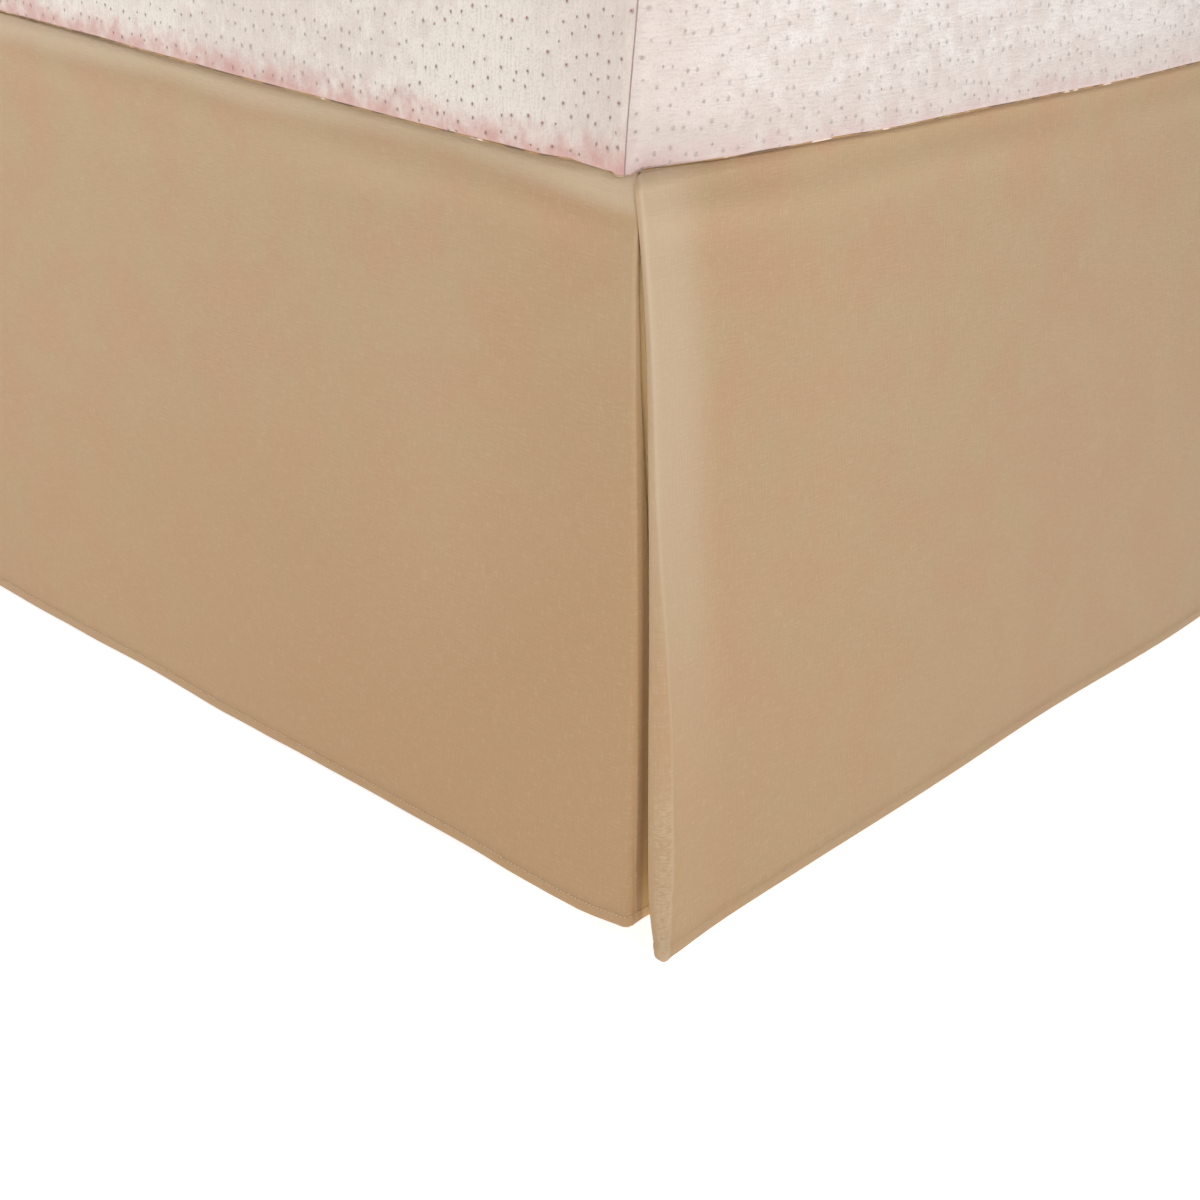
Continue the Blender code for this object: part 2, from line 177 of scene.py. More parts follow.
def times(tree, first, second):
    return calc(tree, "MULTIPLY", first, second)


def ramp(tree, value, low, high, start=0.0, end=1.0):
    inputs = {"Value": value, "From Min": low, "From Max": high, "To Min": start, "To Max": end}
    return add(tree, "MapRange", inputs, interpolation_type="SMOOTHSTEP").outputs[0]


def blendColour(tree, part, first, second):
    ends = [end if isinstance(end, bpy.types.NodeSocket) else (*end, 1) for end in (first, second)]
    inputs = {0: part, 6: ends[0], 7: ends[1]}      # 6 and 7 are the node's two colours
    return add(tree, "Mix", inputs, data_type="RGBA").outputs[2]


def bump(tree, height, distance, strength=1.0, after=None):
    inputs = {"Height": height, "Distance": distance, "Strength": strength}
    if after is not None:
        inputs["Normal"] = after
    return add(tree, "Bump", inputs).outputs[0]


skirtFinish = {
    # the pale colour serves the pale threads and the sheen's tint, and paints the highlights beside the folds
    # and the light on the shoulder
    "beige": srgb(188, 161, 125), "tan": srgb(190, 155, 121), "toneAndPaintedLight": srgb(208, 190, 163),
    "deepToneAndPaintedShade": (0.90, 0.87, 0.74),                 # how much darker the tan is painted near the hem, as painted shade
    # painted light for the pleat's recess past a fold's edge, and paler still further in
    "paintedRecessLight": srgb(208, 176, 124), "hidden": srgb(248, 214, 156),
    "roughness": 0.62, "sheen": 0.18, "sheenRoughness": 0.40, "gloss": 0.35,
    "skirtFootCloth": 1.0, "skirtSideCloth": 0.45,     # share of the painted shade at the hem
    # beside a fold: shares of painted highlight on its line, on its band, as mottling on the line and as
    # mottling on the inner strip, and where the painted light of the pleat's recess starts
    "skirtFootClothFold": (0.05, 0.0, 0.35, 0.0, -0.0015),
    "skirtSideClothFold": (0.15, 0.36, 0.16, 0.42, -0.005),
    "creaseWidth": 0.0007, "bandWidth": 0.045, "tallest": 0.40, "widest": 0.020,
}
# Where a fold's pressed line runs: height above the hem and distance from the fold's edge, both in mm.
sideCrease = (
    (0, 6.6), (12, 8.6), (40, 11.3), (80, 11.2), (115, 10.8), (160, 8.2), (200, 5.2), (240, 3.4), (340, 2.0),
)
footCrease = ((0, 1.2), (40, 2.4), (80, 2.6), (160, 2.2), (240, 1.4), (340, 0.6))


def creasePlace(tree, table, height, values):
    # the table as a colour ramp that gives the line's distance at each height
    curve = add(tree, "ValToRGB", {"Fac": calc(tree, "DIVIDE", height, values["tallest"])})
    stops = curve.color_ramp.elements
    while len(stops) < len(table):
        stops.new(0.5)
    for stop, (up, away) in zip(stops, table):
        stop.position = up / 1000 / values["tallest"]
        stop.color = (away / 1000 / values["widest"],) * 3 + (1,)
    return times(tree, curve.outputs["Color"], values["widest"])


def edgePlace(tree):
    # how far the cloth is from its nearest fold, and how high above the hem
    where = add(tree, "SeparateXYZ", {0: add(tree, "UVMap", uv_map="edge").outputs[0]})
    return where.outputs["X"], where.outputs["Y"]


def pressedFold(tree, table, values):
    # masks for the painted highlights beside a fold: its pressed line, the paler band along it, the lit strip
    # by its edge higher up and the inner strip low down
    beside, height = edgePlace(tree)
    past = calc(tree, "SUBTRACT", beside, creasePlace(tree, table, height, values))
    line = ramp(tree, calc(tree, "ABSOLUTE", past), 2 * values["creaseWidth"], 0.0)
    outside = ramp(tree, past, values["bandWidth"], 0.012)
    band = times(tree, ramp(tree, past, -0.0012, 0.0008), outside)
    low = ramp(tree, height, 0.115, 0.060)
    band = times(tree, band, ramp(tree, height, 0.05, 0.30, 0.15, 1.2))
    inner = times(tree, ramp(tree, past, 0.0006, -0.0016), ramp(tree, beside, 0.0005, 0.004))
    lit = times(tree, ramp(tree, past, 0.0012, -0.0006), ramp(tree, height, 0.12, 0.26))
    return line, band, lit, times(tree, inner, low), low, beside


def clothFinish(name, values, shade=1.0, crease=None):
    # one woven cloth, its pattern on the piece's own flat layout in metres
    finish, tree, shader = newFinish(name)
    flat = add(tree, "UVMap", uv_map="flat").outputs[0]
    blotch = grain(tree, flat, (0.045, 0.045, 1), 3.0, 0.55)
    cloud = grain(tree, flat, (0.19, 0.14, 1), 1.0, 0.5)
    warp = grain(tree, flat, (0.0009, 0.009, 1), 1.0, 0.5)
    weft = grain(tree, flat, (0.009, 0.0009, 1), 1.0, 0.5)
    fibre = grain(tree, flat, (0.0014, 0.0014, 1), 2.0, 0.6)
    tone = ramp(tree, calc(tree, "MULTIPLY_ADD", blotch, 0.7, times(tree, cloud, 0.3)), 0.34, 0.66)
    colour = blendColour(tree, tone, [shade * c for c in values["beige"]], [shade * c for c in values["tan"]])
    if name in values:
        # painted shade: darker towards the hem and near the fold at the corner, less of it far along the
        # panel
        paintedShadeShare = values[name]
        across, height = edgePlace(tree)
        paintedShade = ramp(tree, calc(tree, "MULTIPLY_ADD", cloud, 0.10, height), 0.40, 0.08, 0.0, paintedShadeShare)
        paintedShade = times(tree, paintedShade, ramp(tree, across, 0.55, 0.15, 0.5, 1.0))
        nearFold = ramp(tree, across, 0.16, 0.03)
        paintedShade = calc(tree, "MULTIPLY_ADD", nearFold, 0.4 * paintedShadeShare, paintedShade, clamp=True)
        colour = blendColour(tree, paintedShade, colour, [c * d for c, d in zip(values["tan"], values["deepToneAndPaintedShade"])])
    if name == "skirtFootCloth":
        # painted light: paler over the seam's shoulder, which faces up to the light, with a wavy lower edge
        upper = ramp(tree, calc(tree, "MULTIPLY_ADD", cloud, 0.022, height), 0.378, 0.390, 0.0, 0.55)
        colour = blendColour(tree, upper, colour, values["toneAndPaintedLight"])
    threads = calc(tree, "ADD", warp, weft)
    pale = times(tree, ramp(tree, calc(tree, "ADD", threads, fibre), 1.5, 2.1), 0.20)
    colour = blendColour(tree, pale, colour, [shade * c for c in values["toneAndPaintedLight"]])
    dark = times(tree, ramp(tree, calc(tree, "ADD", threads, fibre), 1.45, 0.95), 0.18)
    colour = blendColour(tree, dark, colour, [shade * 0.80 * c for c in values["tan"]])
    weave = bump(tree, threads, 0.00018, 0.7)
    if crease:
        # painted highlights beside the fold, in the pale colour: its pressed line, the band along it,
        # mottling on the line low down, mottled patches on the inner strip and the lit upper edge
        lineShare, bandShare, paintedMottleShare, innerShare, past = values[name + "Fold"]
        line, band, lit, inner, low, inwards = pressedFold(tree, crease, values)
        fine = grain(tree, flat, (0.0022, 0.0009, 1), 2.0, 0.6)
        paintedMottle = times(tree, ramp(tree, fine, 0.35, 0.60), low)
        foldHighlight = calc(tree, "MULTIPLY_ADD", line, lineShare, times(tree, band, bandShare))
        paintedMottleLine = times(tree, line, paintedMottle)
        foldHighlight = calc(tree, "MULTIPLY_ADD", paintedMottleLine, paintedMottleShare, foldHighlight, clamp=True)
        mottled = times(tree, ramp(tree, calc(tree, "ADD", fine, blotch), 0.78, 1.18), innerShare)
        foldHighlight = calc(tree, "MULTIPLY_ADD", inner, mottled, foldHighlight)
        foldHighlight = calc(tree, "MULTIPLY_ADD", lit, 0.55 * bandShare, foldHighlight, clamp=True)
        colour = blendColour(tree, foldHighlight, colour, values["toneAndPaintedLight"])
        # painted light in the pleat's recess past the fold's edge, paler still further in
        colour = blendColour(tree, ramp(tree, inwards, past, past - 0.003), colour, values["paintedRecessLight"])
        colour = blendColour(tree, ramp(tree, inwards, -0.030, -0.050), colour, values["hidden"])
        weave = bump(tree, line, 0.00025, 0.6, weave)
    fillIn(tree, shader, {
        "Base Color": colour, "Roughness": values["roughness"], "Specular IOR Level": values["gloss"],
        "Sheen Weight": values["sheen"], "Sheen Roughness": values["sheenRoughness"],
        "Sheen Tint": (*values["toneAndPaintedLight"], 1), "Normal": bump(tree, fibre, 0.00012, 0.6, weave),
    })
    return finish


footCloth = clothFinish("skirtFootCloth", skirtFinish, crease=footCrease)
sideCloth = clothFinish("skirtSideCloth", skirtFinish, crease=sideCrease)
# the deck's copy is painted 5% lighter: painted light, to match the paler shoulder below the mattress
deckCloth = clothFinish("skirtDeckCloth", skirtFinish, 1.05)


def threadFinish(name, colour):
    finish, tree, shader = newFinish(name)
    twist = speckle(tree, 0.0006, 1.0)
    strand = blendColour(tree, twist, [0.86 * c for c in colour], [1.1 * c for c in colour])
    fillIn(tree, shader, {
        "Base Color": strand, "Roughness": 0.55, "Sheen Weight": 0.2,
        "Normal": bump(tree, twist, 0.0001, 0.5),
    })
    return finish


hemThread = threadFinish("hemThread", srgb(226, 208, 178))
clothSeam = threadFinish("clothSeam", srgb(200, 176, 143))
coverSeam = threadFinish("coverSeam", srgb(168, 140, 136))

# The cover's faces are kept apart on their flat layout, so that the pattern can tell them. Along it the sides
# start at 0, and the level faces and the foot lie around 2 and 5. Top and underside differ the other way.
coverLayout = {
    "level": 2, "foot": 5, "parted": 3.5, "top": 10, "under": 20,
    "sideFrom": 0.67, "levelFrom": 0.75,        # where a rounded edge passes from one face to the next
}
mattressFinish = {
    "knit": srgb(236, 227, 216), "coolKnit": srgb(238, 230, 225), "deepToneAndPaintedShade": srgb(220, 206, 197),
    "hole": srgb(122, 84, 80), "redHole": srgb(140, 76, 56),
    "rosy": srgb(206, 155, 147), "lilac": srgb(214, 172, 174), "shaded": srgb(208, 190, 180),
    "roughness": 0.85, "dimple": 0.0086, "looseness": 0.66, "dimpleSize": 0.080,
}


def weltFinish(name, values):
    # the cover's welt: two browns mixed at random, with pale places and a pale corner; the browns are painted
    # shade along the line where the mattress meets the deck, the pale places painted glints
    finish, tree, shader = newFinish(name)
    uneven = speckle(tree, 0.020, 2.0, 0.7)
    spot = add(tree, "SeparateXYZ", {0: add(tree, "TexCoord").outputs["Object"]})
    low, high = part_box("mattress")
    across = calc(tree, "SUBTRACT", high.x, calc(tree, "ABSOLUTE", spot.outputs["X"]))
    back = calc(tree, "SUBTRACT", spot.outputs["Y"], low.y)
    corner = ramp(tree, calc(tree, "ADD", across, back), 0.026, 0.018)
    pale = calc(tree, "MAXIMUM", ramp(tree, uneven, 0.60, 0.66), corner)
    brown = blendColour(tree, ramp(tree, uneven, 0.40, 0.56), values["dark"], values["paintedMottle"])
    fillIn(tree, shader, {
        "Base Color": blendColour(tree, pale, brown, values["glint"]), "Roughness": 0.6,
        "Normal": bump(tree, speckle(tree, 0.0007, 1.0), 0.0001, 0.5),
    })
    return finish


# the welt is a real cord, but its browns stand in for the shade where the mattress meets the deck (painted
# shade), and its glint is a painted highlight
weltColours = {"dark": srgb(120, 96, 72), "paintedMottle": srgb(178, 140, 92), "glint": srgb(240, 222, 206)}
coverWelt = weltFinish("coverWelt", weltColours)


def knitFinish(name, values):
    # a stretch knit with small punched dimples, rosy in patches along its lower edge as painted shade; the
    # dimples and the corners carry painted shade too, and each face is toned for how it is lit
    finish, tree, shader = newFinish(name)
    flat = add(tree, "TexCoord").outputs["UV"]
    apart = add(tree, "SeparateXYZ", {0: flat})
    onFoot = calc(tree, "GREATER_THAN", apart.outputs["X"], coverLayout["parted"])
    fromMiddle = calc(tree, "ABSOLUTE", calc(tree, "SUBTRACT", apart.outputs["X"], coverLayout["foot"]))
    footAway = calc(tree, "SUBTRACT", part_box("mattress")[1].x, fromMiddle)
    away = add(tree, "Mix", {"Factor": onFoot, "A": apart.outputs["X"], "B": footAway}).outputs[0]
    wander = {"Vector": stretched(tree, flat, (0.05, 0.05, 1)), "Scale": 1.0, "Detail": 1.0}
    drift = add(tree, "TexNoise", wander, noise_dimensions="2D").outputs["Color"]
    shift = add(tree, "VectorMath", {0: drift, "Scale": 0.010}, operation="SCALE").outputs[0]
    place = add(tree, "VectorMath", {0: flat, 1: shift}, operation="ADD").outputs[0]
    scaled = stretched(tree, place, (values["dimple"], values["dimple"] * 1.12, 1))
    scatter = {"Vector": scaled, "Scale": 1.0, "Randomness": values["looseness"]}
    cells = add(tree, "TexVoronoi", scatter, voronoi_dimensions="2D", feature="F1").outputs["Distance"]
    uneven = grain(tree, flat, (0.012, 0.012, 1), 1.0, 0.5)
    size = times(tree, ramp(tree, uneven, 0.2, 0.8, 0.6, 1.4), values["dimpleSize"])
    hole = ramp(tree, calc(tree, "DIVIDE", cells, size), 1.15, 0.35)
    dent = ramp(tree, calc(tree, "DIVIDE", cells, size), 1.9, 0.2)
    patch = grain(tree, flat, (0.015, 0.015, 1), 3.0, 0.65)
    wide = grain(tree, flat, (0.16, 0.12, 1), 1.0, 0.5)
    puff = add(tree, "TexVoronoi", scatter, voronoi_dimensions="2D", feature="SMOOTH_F1").outputs["Distance"]
    upright = grain(tree, flat, (0.0011, 0.010, 1), 2.0, 0.5)
    level = grain(tree, flat, (0.010, 0.0011, 1), 2.0, 0.5)
    streak = add(tree, "Mix", {"Factor": onFoot, "A": level, "B": upright}).outputs[0]
    curls = grain(tree, flat, (0.0015, 0.0013, 1), 2.0, 0.6)
    knitted = calc(tree, "ADD", streak, curls)
    # painted light: the side faces take a cooler, paler copy of the knit than the foot face, each toned for
    # its light
    base = blendColour(tree, onFoot, values["coolKnit"], values["knit"])
    deeper = ramp(tree, calc(tree, "ADD", patch, wide), 1.15, 0.80, 0.0, 0.6)
    colour = blendColour(tree, deeper, base, values["deepToneAndPaintedShade"])
    # painted shade: darker within a tenth of a metre of the foot corners
    colour = blendColour(tree, ramp(tree, away, 0.10, 0.0, 0.0, 0.55), colour, values["shaded"])
    colour = blendColour(tree, ramp(tree, knitted, 1.05, 0.75, 0.0, 0.40), colour, values["shaded"])
    edge = calc(tree, "MULTIPLY_ADD", patch, 0.026, apart.outputs["Y"])
    edge = calc(tree, "SUBTRACT", edge, ramp(tree, away, 0.040, 0.010, 0.0, 0.003))
    edge = calc(tree, "MULTIPLY_ADD", onFoot, -0.006, calc(tree, "ADD", edge, 0.006))
    # painted shade: darker low down on the side faces
    onSide = calc(tree, "SUBTRACT", 1.0, onFoot)
    near = times(tree, ramp(tree, apart.outputs["Y"], 0.036, 0.0, 0.0, 0.55), onSide)
    colour = blendColour(tree, near, colour, values["shaded"])
    # painted shade: rosy on the foot and lilac on the sides along the lower edge, stronger on the foot
    lowShare = calc(tree, "MULTIPLY_ADD", onFoot, 0.25, 0.65)
    low = times(tree, ramp(tree, edge, 0.031, 0.009), lowShare)
    colour = blendColour(tree, low, colour, blendColour(tree, onFoot, values["lilac"], values["rosy"]))
    # painted shade in the dimples, stronger and redder on the foot face, where the light grazes it
    markShare = calc(tree, "MULTIPLY_ADD", onFoot, 0.48, 0.40)
    toneAndPaintedLight = times(tree, ramp(tree, wide, 0.35, 0.65, 0.6, 0.95), markShare)
    mark = blendColour(tree, onFoot, values["hole"], values["redHole"])
    colour = blendColour(tree, times(tree, hole, toneAndPaintedLight), colour, mark)
    surface = bump(tree, puff, 0.0014, 0.8)
    surface = bump(tree, times(tree, dent, -1.0), 0.0006, 0.8, surface)
    fillIn(tree, shader, {
        "Base Color": colour, "Roughness": values["roughness"], "Sheen Weight": 0.25,
        "Normal": bump(tree, knitted, 0.0004, 0.7, surface),
    })
    return finish


mattressKnit = knitFinish("mattressKnit", mattressFinish)


def tickingFinish(name, base, under):
    # woven ticking on the sides and top, thin dust cloth underneath
    finish, tree, shader = newFinish(name)
    weave, cloud = speckle(tree, 0.0018, 2.0, 0.6), speckle(tree, 0.09)
    tone = calc(tree, "MULTIPLY_ADD", weave, 0.5, times(tree, cloud, 0.5))
    side = blendColour(tree, tone, [0.84 * c for c in base], base)
    facing = add(tree, "SeparateXYZ", {0: add(tree, "TexCoord").outputs["Normal"]}).outputs["Z"]
    fillIn(tree, shader, {
        "Base Color": blendColour(tree, ramp(tree, facing, -0.6, -0.9), side, under), "Roughness": 0.9,
        "Normal": bump(tree, weave, 0.0003, 0.6),
    })
    return finish


boxTicking = tickingFinish("boxTicking", srgb(232, 228, 220), srgb(120, 118, 116))


def steelFinish(name, colour, rough):
    finish, tree, shader = newFinish(name)
    coat, dust = speckle(tree, 0.0016, 2.0, 0.6), speckle(tree, 0.06, 3.0, 0.6)
    dusty = [3 * c + 0.02 for c in colour]
    fillIn(tree, shader, {
        "Base Color": blendColour(tree, ramp(tree, dust, 0.45, 0.75, 0.0, 0.35), colour, dusty),
        "Roughness": ramp(tree, dust, 0.3, 0.7, rough - 0.08, rough + 0.15), "Metallic": 0.0,
        "Normal": bump(tree, coat, 0.00015, 0.5),
    })
    return finish


frameSteel = steelFinish("frameSteel", srgb(40, 40, 42), 0.42)
glidePlastic = steelFinish("glidePlastic", srgb(30, 30, 31), 0.55)
print("finishes made")

# Each row of a fold: share of the drop, how far short of the corner the fold ends (mm) and its rounding (mm).
# The foot's also has the depth of the flat return behind its corner (mm).
footFold = (
    (0.00, 4.2, 1.2, 0.6), (0.03, 2.9, 1.2, 0.6), (0.07, 2.8, 1.3, 0.6), (0.11, 2.8, 1.5, 0.8),
    (0.17, 1.8, 1.9, 1.4), (0.235, 0.6, 2.2, 2.2), (0.30, -1.0, 2.6, 3.2), (0.44, -4.2, 3.4, 5.2),
    (0.57, -7.0, 4.2, 6.6), (0.71, -9.2, 5.2, 7.8), (0.84, -10.6, 6.0, 9.8), (1.00, -11.6, 6.6, 11.4),
)
sideFold = (
    (0.00, -1.4, 2.0), (0.08, 2.1, 2.8), (0.18, 4.4, 3.7), (0.32, 4.6, 4.4), (0.52, 4.2, 6.0),
    (0.72, 3.0, 8.0), (0.88, 1.9, 9.2), (0.94, 0.8, 8.2), (1.00, 0.0, 4.8),
)
# How the hem stands out, where it rises and sinks, and the cloth's soft waves.
hang = {
    "sideFlareCorner": 0.0135, "sideFlareNear": 0.0140, "sideFlareFar": 0.0120, "footFlare": 0.0090,
    "cornerReach": 0.45, "nearReach": 1.20,
    "sideTip": 0.0043, "sideRise": 0.0093, "sideRiseReach": 0.025,
    "sideSettle": 0.0020, "sideSettleReach": 0.35,
    "innerLift": 0.0012, "innerDepth": 0.010,
    "wave": 0.0016, "longWave": 13.1, "shortWave": 23.7, "shortShare": 0.6, "shortPhase": 2.1,
    "calmCorner": 0.25, "curlReach": 0.018,
}
# Where down the drop a fold's section changes from top to middle to low, and how sharp the hem presses it.
pressing = {"middleAt": 0.45, "lowOver": 0.35, "hemFrom": 0.95, "hemSharp": 4.0}
# How finely the cloth is divided.
detail = {
    "turnSteps": 20, "middleSteps": 14, "middleEase": 1.5, "innerSteps": 6, "backSteps": 7,
    "shoulderStep": 10, "rowStep": 0.0042,
    "firstStation": 0.012, "panelNear": 0.0035, "panelFar": 0.0105, "panelGrow": 1.05, "sideFar": 0.017,
    "lastGap": 0.6,     # of a step
}


def foldAt(table, share):
    # end, rounding and return of a fold, smooth between the listed shares
    last = len(table) - 1
    at = max(index for index in range(last) if share >= table[index][0]) if share > 0 else 0
    part = (share - table[at][0]) / (table[at + 1][0] - table[at][0])
    found = []
    for column in range(1, len(table[0])):
        rows = [table[min(max(at + move, 0), last)] for move in (-1, 0, 1, 2)]
        span = rows[2][0] - rows[1][0]
        slopes = []
        for before, after in ((rows[0], rows[2]), (rows[1], rows[3])):
            run = after[0] - before[0]
            slopes.append((after[column] - before[column]) / run * span if run else 0.0)
        p2, p3 = part * part, part ** 3
        value = (2 * p3 - 3 * p2 + 1) * rows[1][column] + (p3 - 2 * p2 + part) * slopes[0]
        value += (-2 * p3 + 3 * p2) * rows[2][column] + (p3 - p2) * slopes[1]
        found.append(value / 1000)
    return found if len(found) == 3 else found + [0.0]


def waves(along, share, phase):
    # soft waves of the panel, stronger towards the hem and calm by the corner
    swing = math.sin(along * hang["longWave"] + phase)
    swing += hang["shortShare"] * math.sin(along * hang["shortWave"] + hang["shortPhase"] * phase)
    return hang["wave"] * share * swing * (1 - fade(along, hang["calmCorner"]))


def footFlare(along, share, phase):
    return share * hang["footFlare"] * (1 - fade(along, hang["cornerReach"])) + waves(along, share, phase)


def sideFlare(along, share, phase):
    corner = hang["sideFlareCorner"] * fade(along, hang["cornerReach"])
    near = hang["sideFlareNear"] * fade(along, hang["nearReach"])
    return share * (hang["sideFlareFar"] + corner + near) + waves(along, share, phase)


# A plan point is (out, back, lean out, lean back, depth behind the outer layer): out is +X from the side's
# hanging plane, back is +Y from the foot's, and the lean points into the bed.
def footPoint(along, depth, share, phase):
    return (-along, depth - footFlare(along, share, phase), 0, 1, depth)


def sidePoint(along, depth, share, phase):
    return (sideFlare(along, share, phase) - depth, along, -1, 0, depth)


# square: how sharp the front of the fold is at the top, in the middle and low down. turned: steps round it.
footFace = {"place": footPoint, "folds": footFold, "curl": 0.0010, "square": (2.4, 3.0, 3.0), "turned": 6}
sideFace = {"place": sidePoint, "folds": sideFold, "curl": 0.0020, "square": (2.8, 2.8, 2.1), "turned": 10}


def curl(face, along, share):
    # how far the panel turns in as it comes to its fold
    end = foldAt(face["folds"], share)[0]
    return face["curl"] * share * math.exp(-max(along - end, 0) / hang["curlReach"])


def layerStep(share):
    # from one of the pleat's layers to the next
    return skirt["cloth"] + skirt["layerGap"] + skirt["layerSpread"] * share


def middleDepth(face, along, share):
    # how deep the layer behind the panel lies
    end, rounding, back = foldAt(face["folds"], share)
    rest = layerStep(share)
    deepest = curl(face, end, share) + rounding * (1 + skirt["backOfFold"]) + back
    return rest + (deepest - rest) * fade(max(along - end - rounding, 0), skirt["foldRelax"])


def foldLine(face, share, phase):
    # plan points round the fold and along the layer behind the panel
    end, rounding, back = foldAt(face["folds"], share)
    lip = curl(face, end, share)
    line = []
    steps, turned = detail["turnSteps"], face["turned"]
    top, middle, low = face["square"]
    power = mix(top, middle, ease(share / pressing["middleAt"]))
    power = mix(power, low, ease((share - pressing["middleAt"]) / pressing["lowOver"]))
    power += pressing["hemSharp"] * ease((share - pressing["hemFrom"]) / (1 - pressing["hemFrom"]))
    for step in range(steps + 1):
        turn = math.pi * step / steps if step > steps / 2 else math.pi / 2 * min(step / turned, 1)
        sine, cosine = math.sin(turn), math.cos(turn)
        flat = back * min(max(step - turned, 0) / max(steps / 2 - turned, 1), 1)
        if step < turned:
            size = (abs(sine) ** power + abs(cosine) ** power) ** (1 / power)
            sine, cosine = sine / size, cosine / size
        else:
            cosine *= skirt["backOfFold"]
        along, depth = end + rounding * (1 - sine), lip + rounding * (1 - cosine) + flat
        line.append(face["place"](along, depth, share, phase))
    start = end + rounding
    for step in range(1, detail["middleSteps"] + 1):
        part = (step / detail["middleSteps"]) ** detail["middleEase"]
        along = start + (skirt["pleatDepth"] - start) * part
        line.append(face["place"](along, middleDepth(face, along, share), share, phase))
    return line


def smoothBetween(before, start, end, after, part):
    # a smooth curve through four places, between the middle two
    total = []
    for a, b, c, d in zip(before, start, end, after):
        total.append(0.5 * (2 * b + (c - a) * part + (2 * a - 5 * b + 4 * c - d) * part ** 2
                            + (3 * b - a - 3 * c + d) * part ** 3))
    return total


def backLine(share, footPhase, sidePhase):
    # the pleat's back layer: from the foot's inner fold round the corner to the side's
    step, room = layerStep(share), skirt["cornerRoom"]
    footEnd, footRound = foldAt(footFold, share)[:2]
    sideEnd, sideRound = foldAt(sideFold, share)[:2]
    footDeep = middleDepth(footFace, footEnd, share) + step + room
    sideDeep = middleDepth(sideFace, sideEnd, share) + step + room
    turnAlong = max(footEnd + skirt["turnInFold"] * footRound,
                    sideDeep - sideFlare(sideEnd, share, sidePhase) + room)
    turn = footPoint(turnAlong, footDeep, share, footPhase)
    leave = max(sideEnd + skirt["leaveRoundings"] * sideRound, turn[1]) + skirt["leaveExtra"]
    far, near = skirt["pleatDepth"], skirt["nearCorner"]
    guides = [
        footPoint(far, middleDepth(footFace, far, share) + step, share, footPhase),
        footPoint(near, middleDepth(footFace, near, share) + step, share, footPhase),
        turn,
        sidePoint(leave, middleDepth(sideFace, leave, share) + step + room, share, sidePhase),
        sidePoint(far, middleDepth(sideFace, far, share) + step, share, sidePhase),
    ]
    half = math.sqrt(0.5)
    leans = [(0, 1), (0, 1), (-half, half), (-1, 0), (-1, 0)]
    line = []
    for index in range(len(guides) - 1):
        around = [guides[min(max(index + move, 0), len(guides) - 1)] for move in (-1, 0, 1, 2)]
        for count in range(detail["backSteps"]):
            part = count / detail["backSteps"]
            out, back = smoothBetween(*[guide[:2] for guide in around], part)
            lean = Vector(leans[index]).lerp(Vector(leans[index + 1]), part).normalized()
            depth = mix(guides[index][4], guides[index + 1][4], part)
            line.append((out, back, lean.x, lean.y, depth))
    line.append((guides[-1][0], guides[-1][1], -1, 0, guides[-1][4]))
    return line


def innerFold(share, phase):
    # the hidden fold between the foot drop's middle layer and its back one
    step = layerStep(share)
    depth = middleDepth(footFace, skirt["pleatDepth"], share)
    line = []
    for count in range(1, detail["innerSteps"]):
        turn = math.pi * count / detail["innerSteps"]
        along = skirt["pleatDepth"] + step / 2 * math.sin(turn)
        line.append(footPoint(along, depth + step / 2 * (1 - math.cos(turn)), share, phase))
    return line


def stationsTo(length, far):
    # stations along a panel, close near the fold and wider further off
    listed, at, step = [], detail["firstStation"], detail["panelNear"]
    while at < length - detail["lastGap"] * far:
        listed.append(at)
        at += step
        step = min(step * detail["panelGrow"], far)
    return listed


footStations = stationsTo(skirt["hangX"], detail["panelFar"])
sideLength = skirt["headY"] - skirt["footY"]
sideStations = stationsTo(sideLength, detail["sideFar"]) + [sideLength]


def panelLine(face, stations, share, phase):
    return [face["place"](at, curl(face, at, share), share, phase) for at in reversed(stations)]


def footHalf(share, footPhase, sidePhase):
    line = panelLine(footFace, footStations, share, footPhase) + foldLine(footFace, share, footPhase)
    return line + innerFold(share, footPhase) + backLine(share, footPhase, sidePhase)


def sideLine(share, phase):
    return panelLine(sideFace, sideStations, share, phase) + foldLine(sideFace, share, phase)


# How high the foot's hem is above its level, from the corner along the panel, both in mm.
footHem = (
    (-12, 3.4), (-6.5, 2.0), (0, 0.3), (9, -0.4), (25, -1.8), (45, -2.4), (70, -2.6), (100, -1.8),
    (166, -2.9), (240, -3.9), (290, -5.1), (330, -6.2), (365, -5.8), (400, -5.6), (450, -6.2),
    (500, -5.2), (560, -4.0), (770, -5.0),
)


def lookUp(table, at):
    # a smooth value in metres from a short table of places and values in mm
    at *= 1000
    for (start, first), (end, last) in zip(table, table[1:]):
        if at <= end:
            return mix(first, last, ease((at - start) / (end - start))) / 1000
    return table[-1][1] / 1000


def hemHeight(point, share):
    # how far the cloth is lifted or lowered here, all of it at the hem
    foot = lookUp(footHem, -point[0])
    along = max(point[1], 0)
    side = hang["sideRise"] * (1 - math.exp(-along / hang["sideRiseReach"])) - hang["sideTip"]
    side -= hang["sideSettle"] * (1 - fade(along, hang["sideSettleReach"]))
    onFoot = point[3] ** 2
    inner = hang["innerLift"] * min(point[4] / hang["innerDepth"], 1)
    return share * (onFoot * foot + (1 - onFoot) * side + inner)


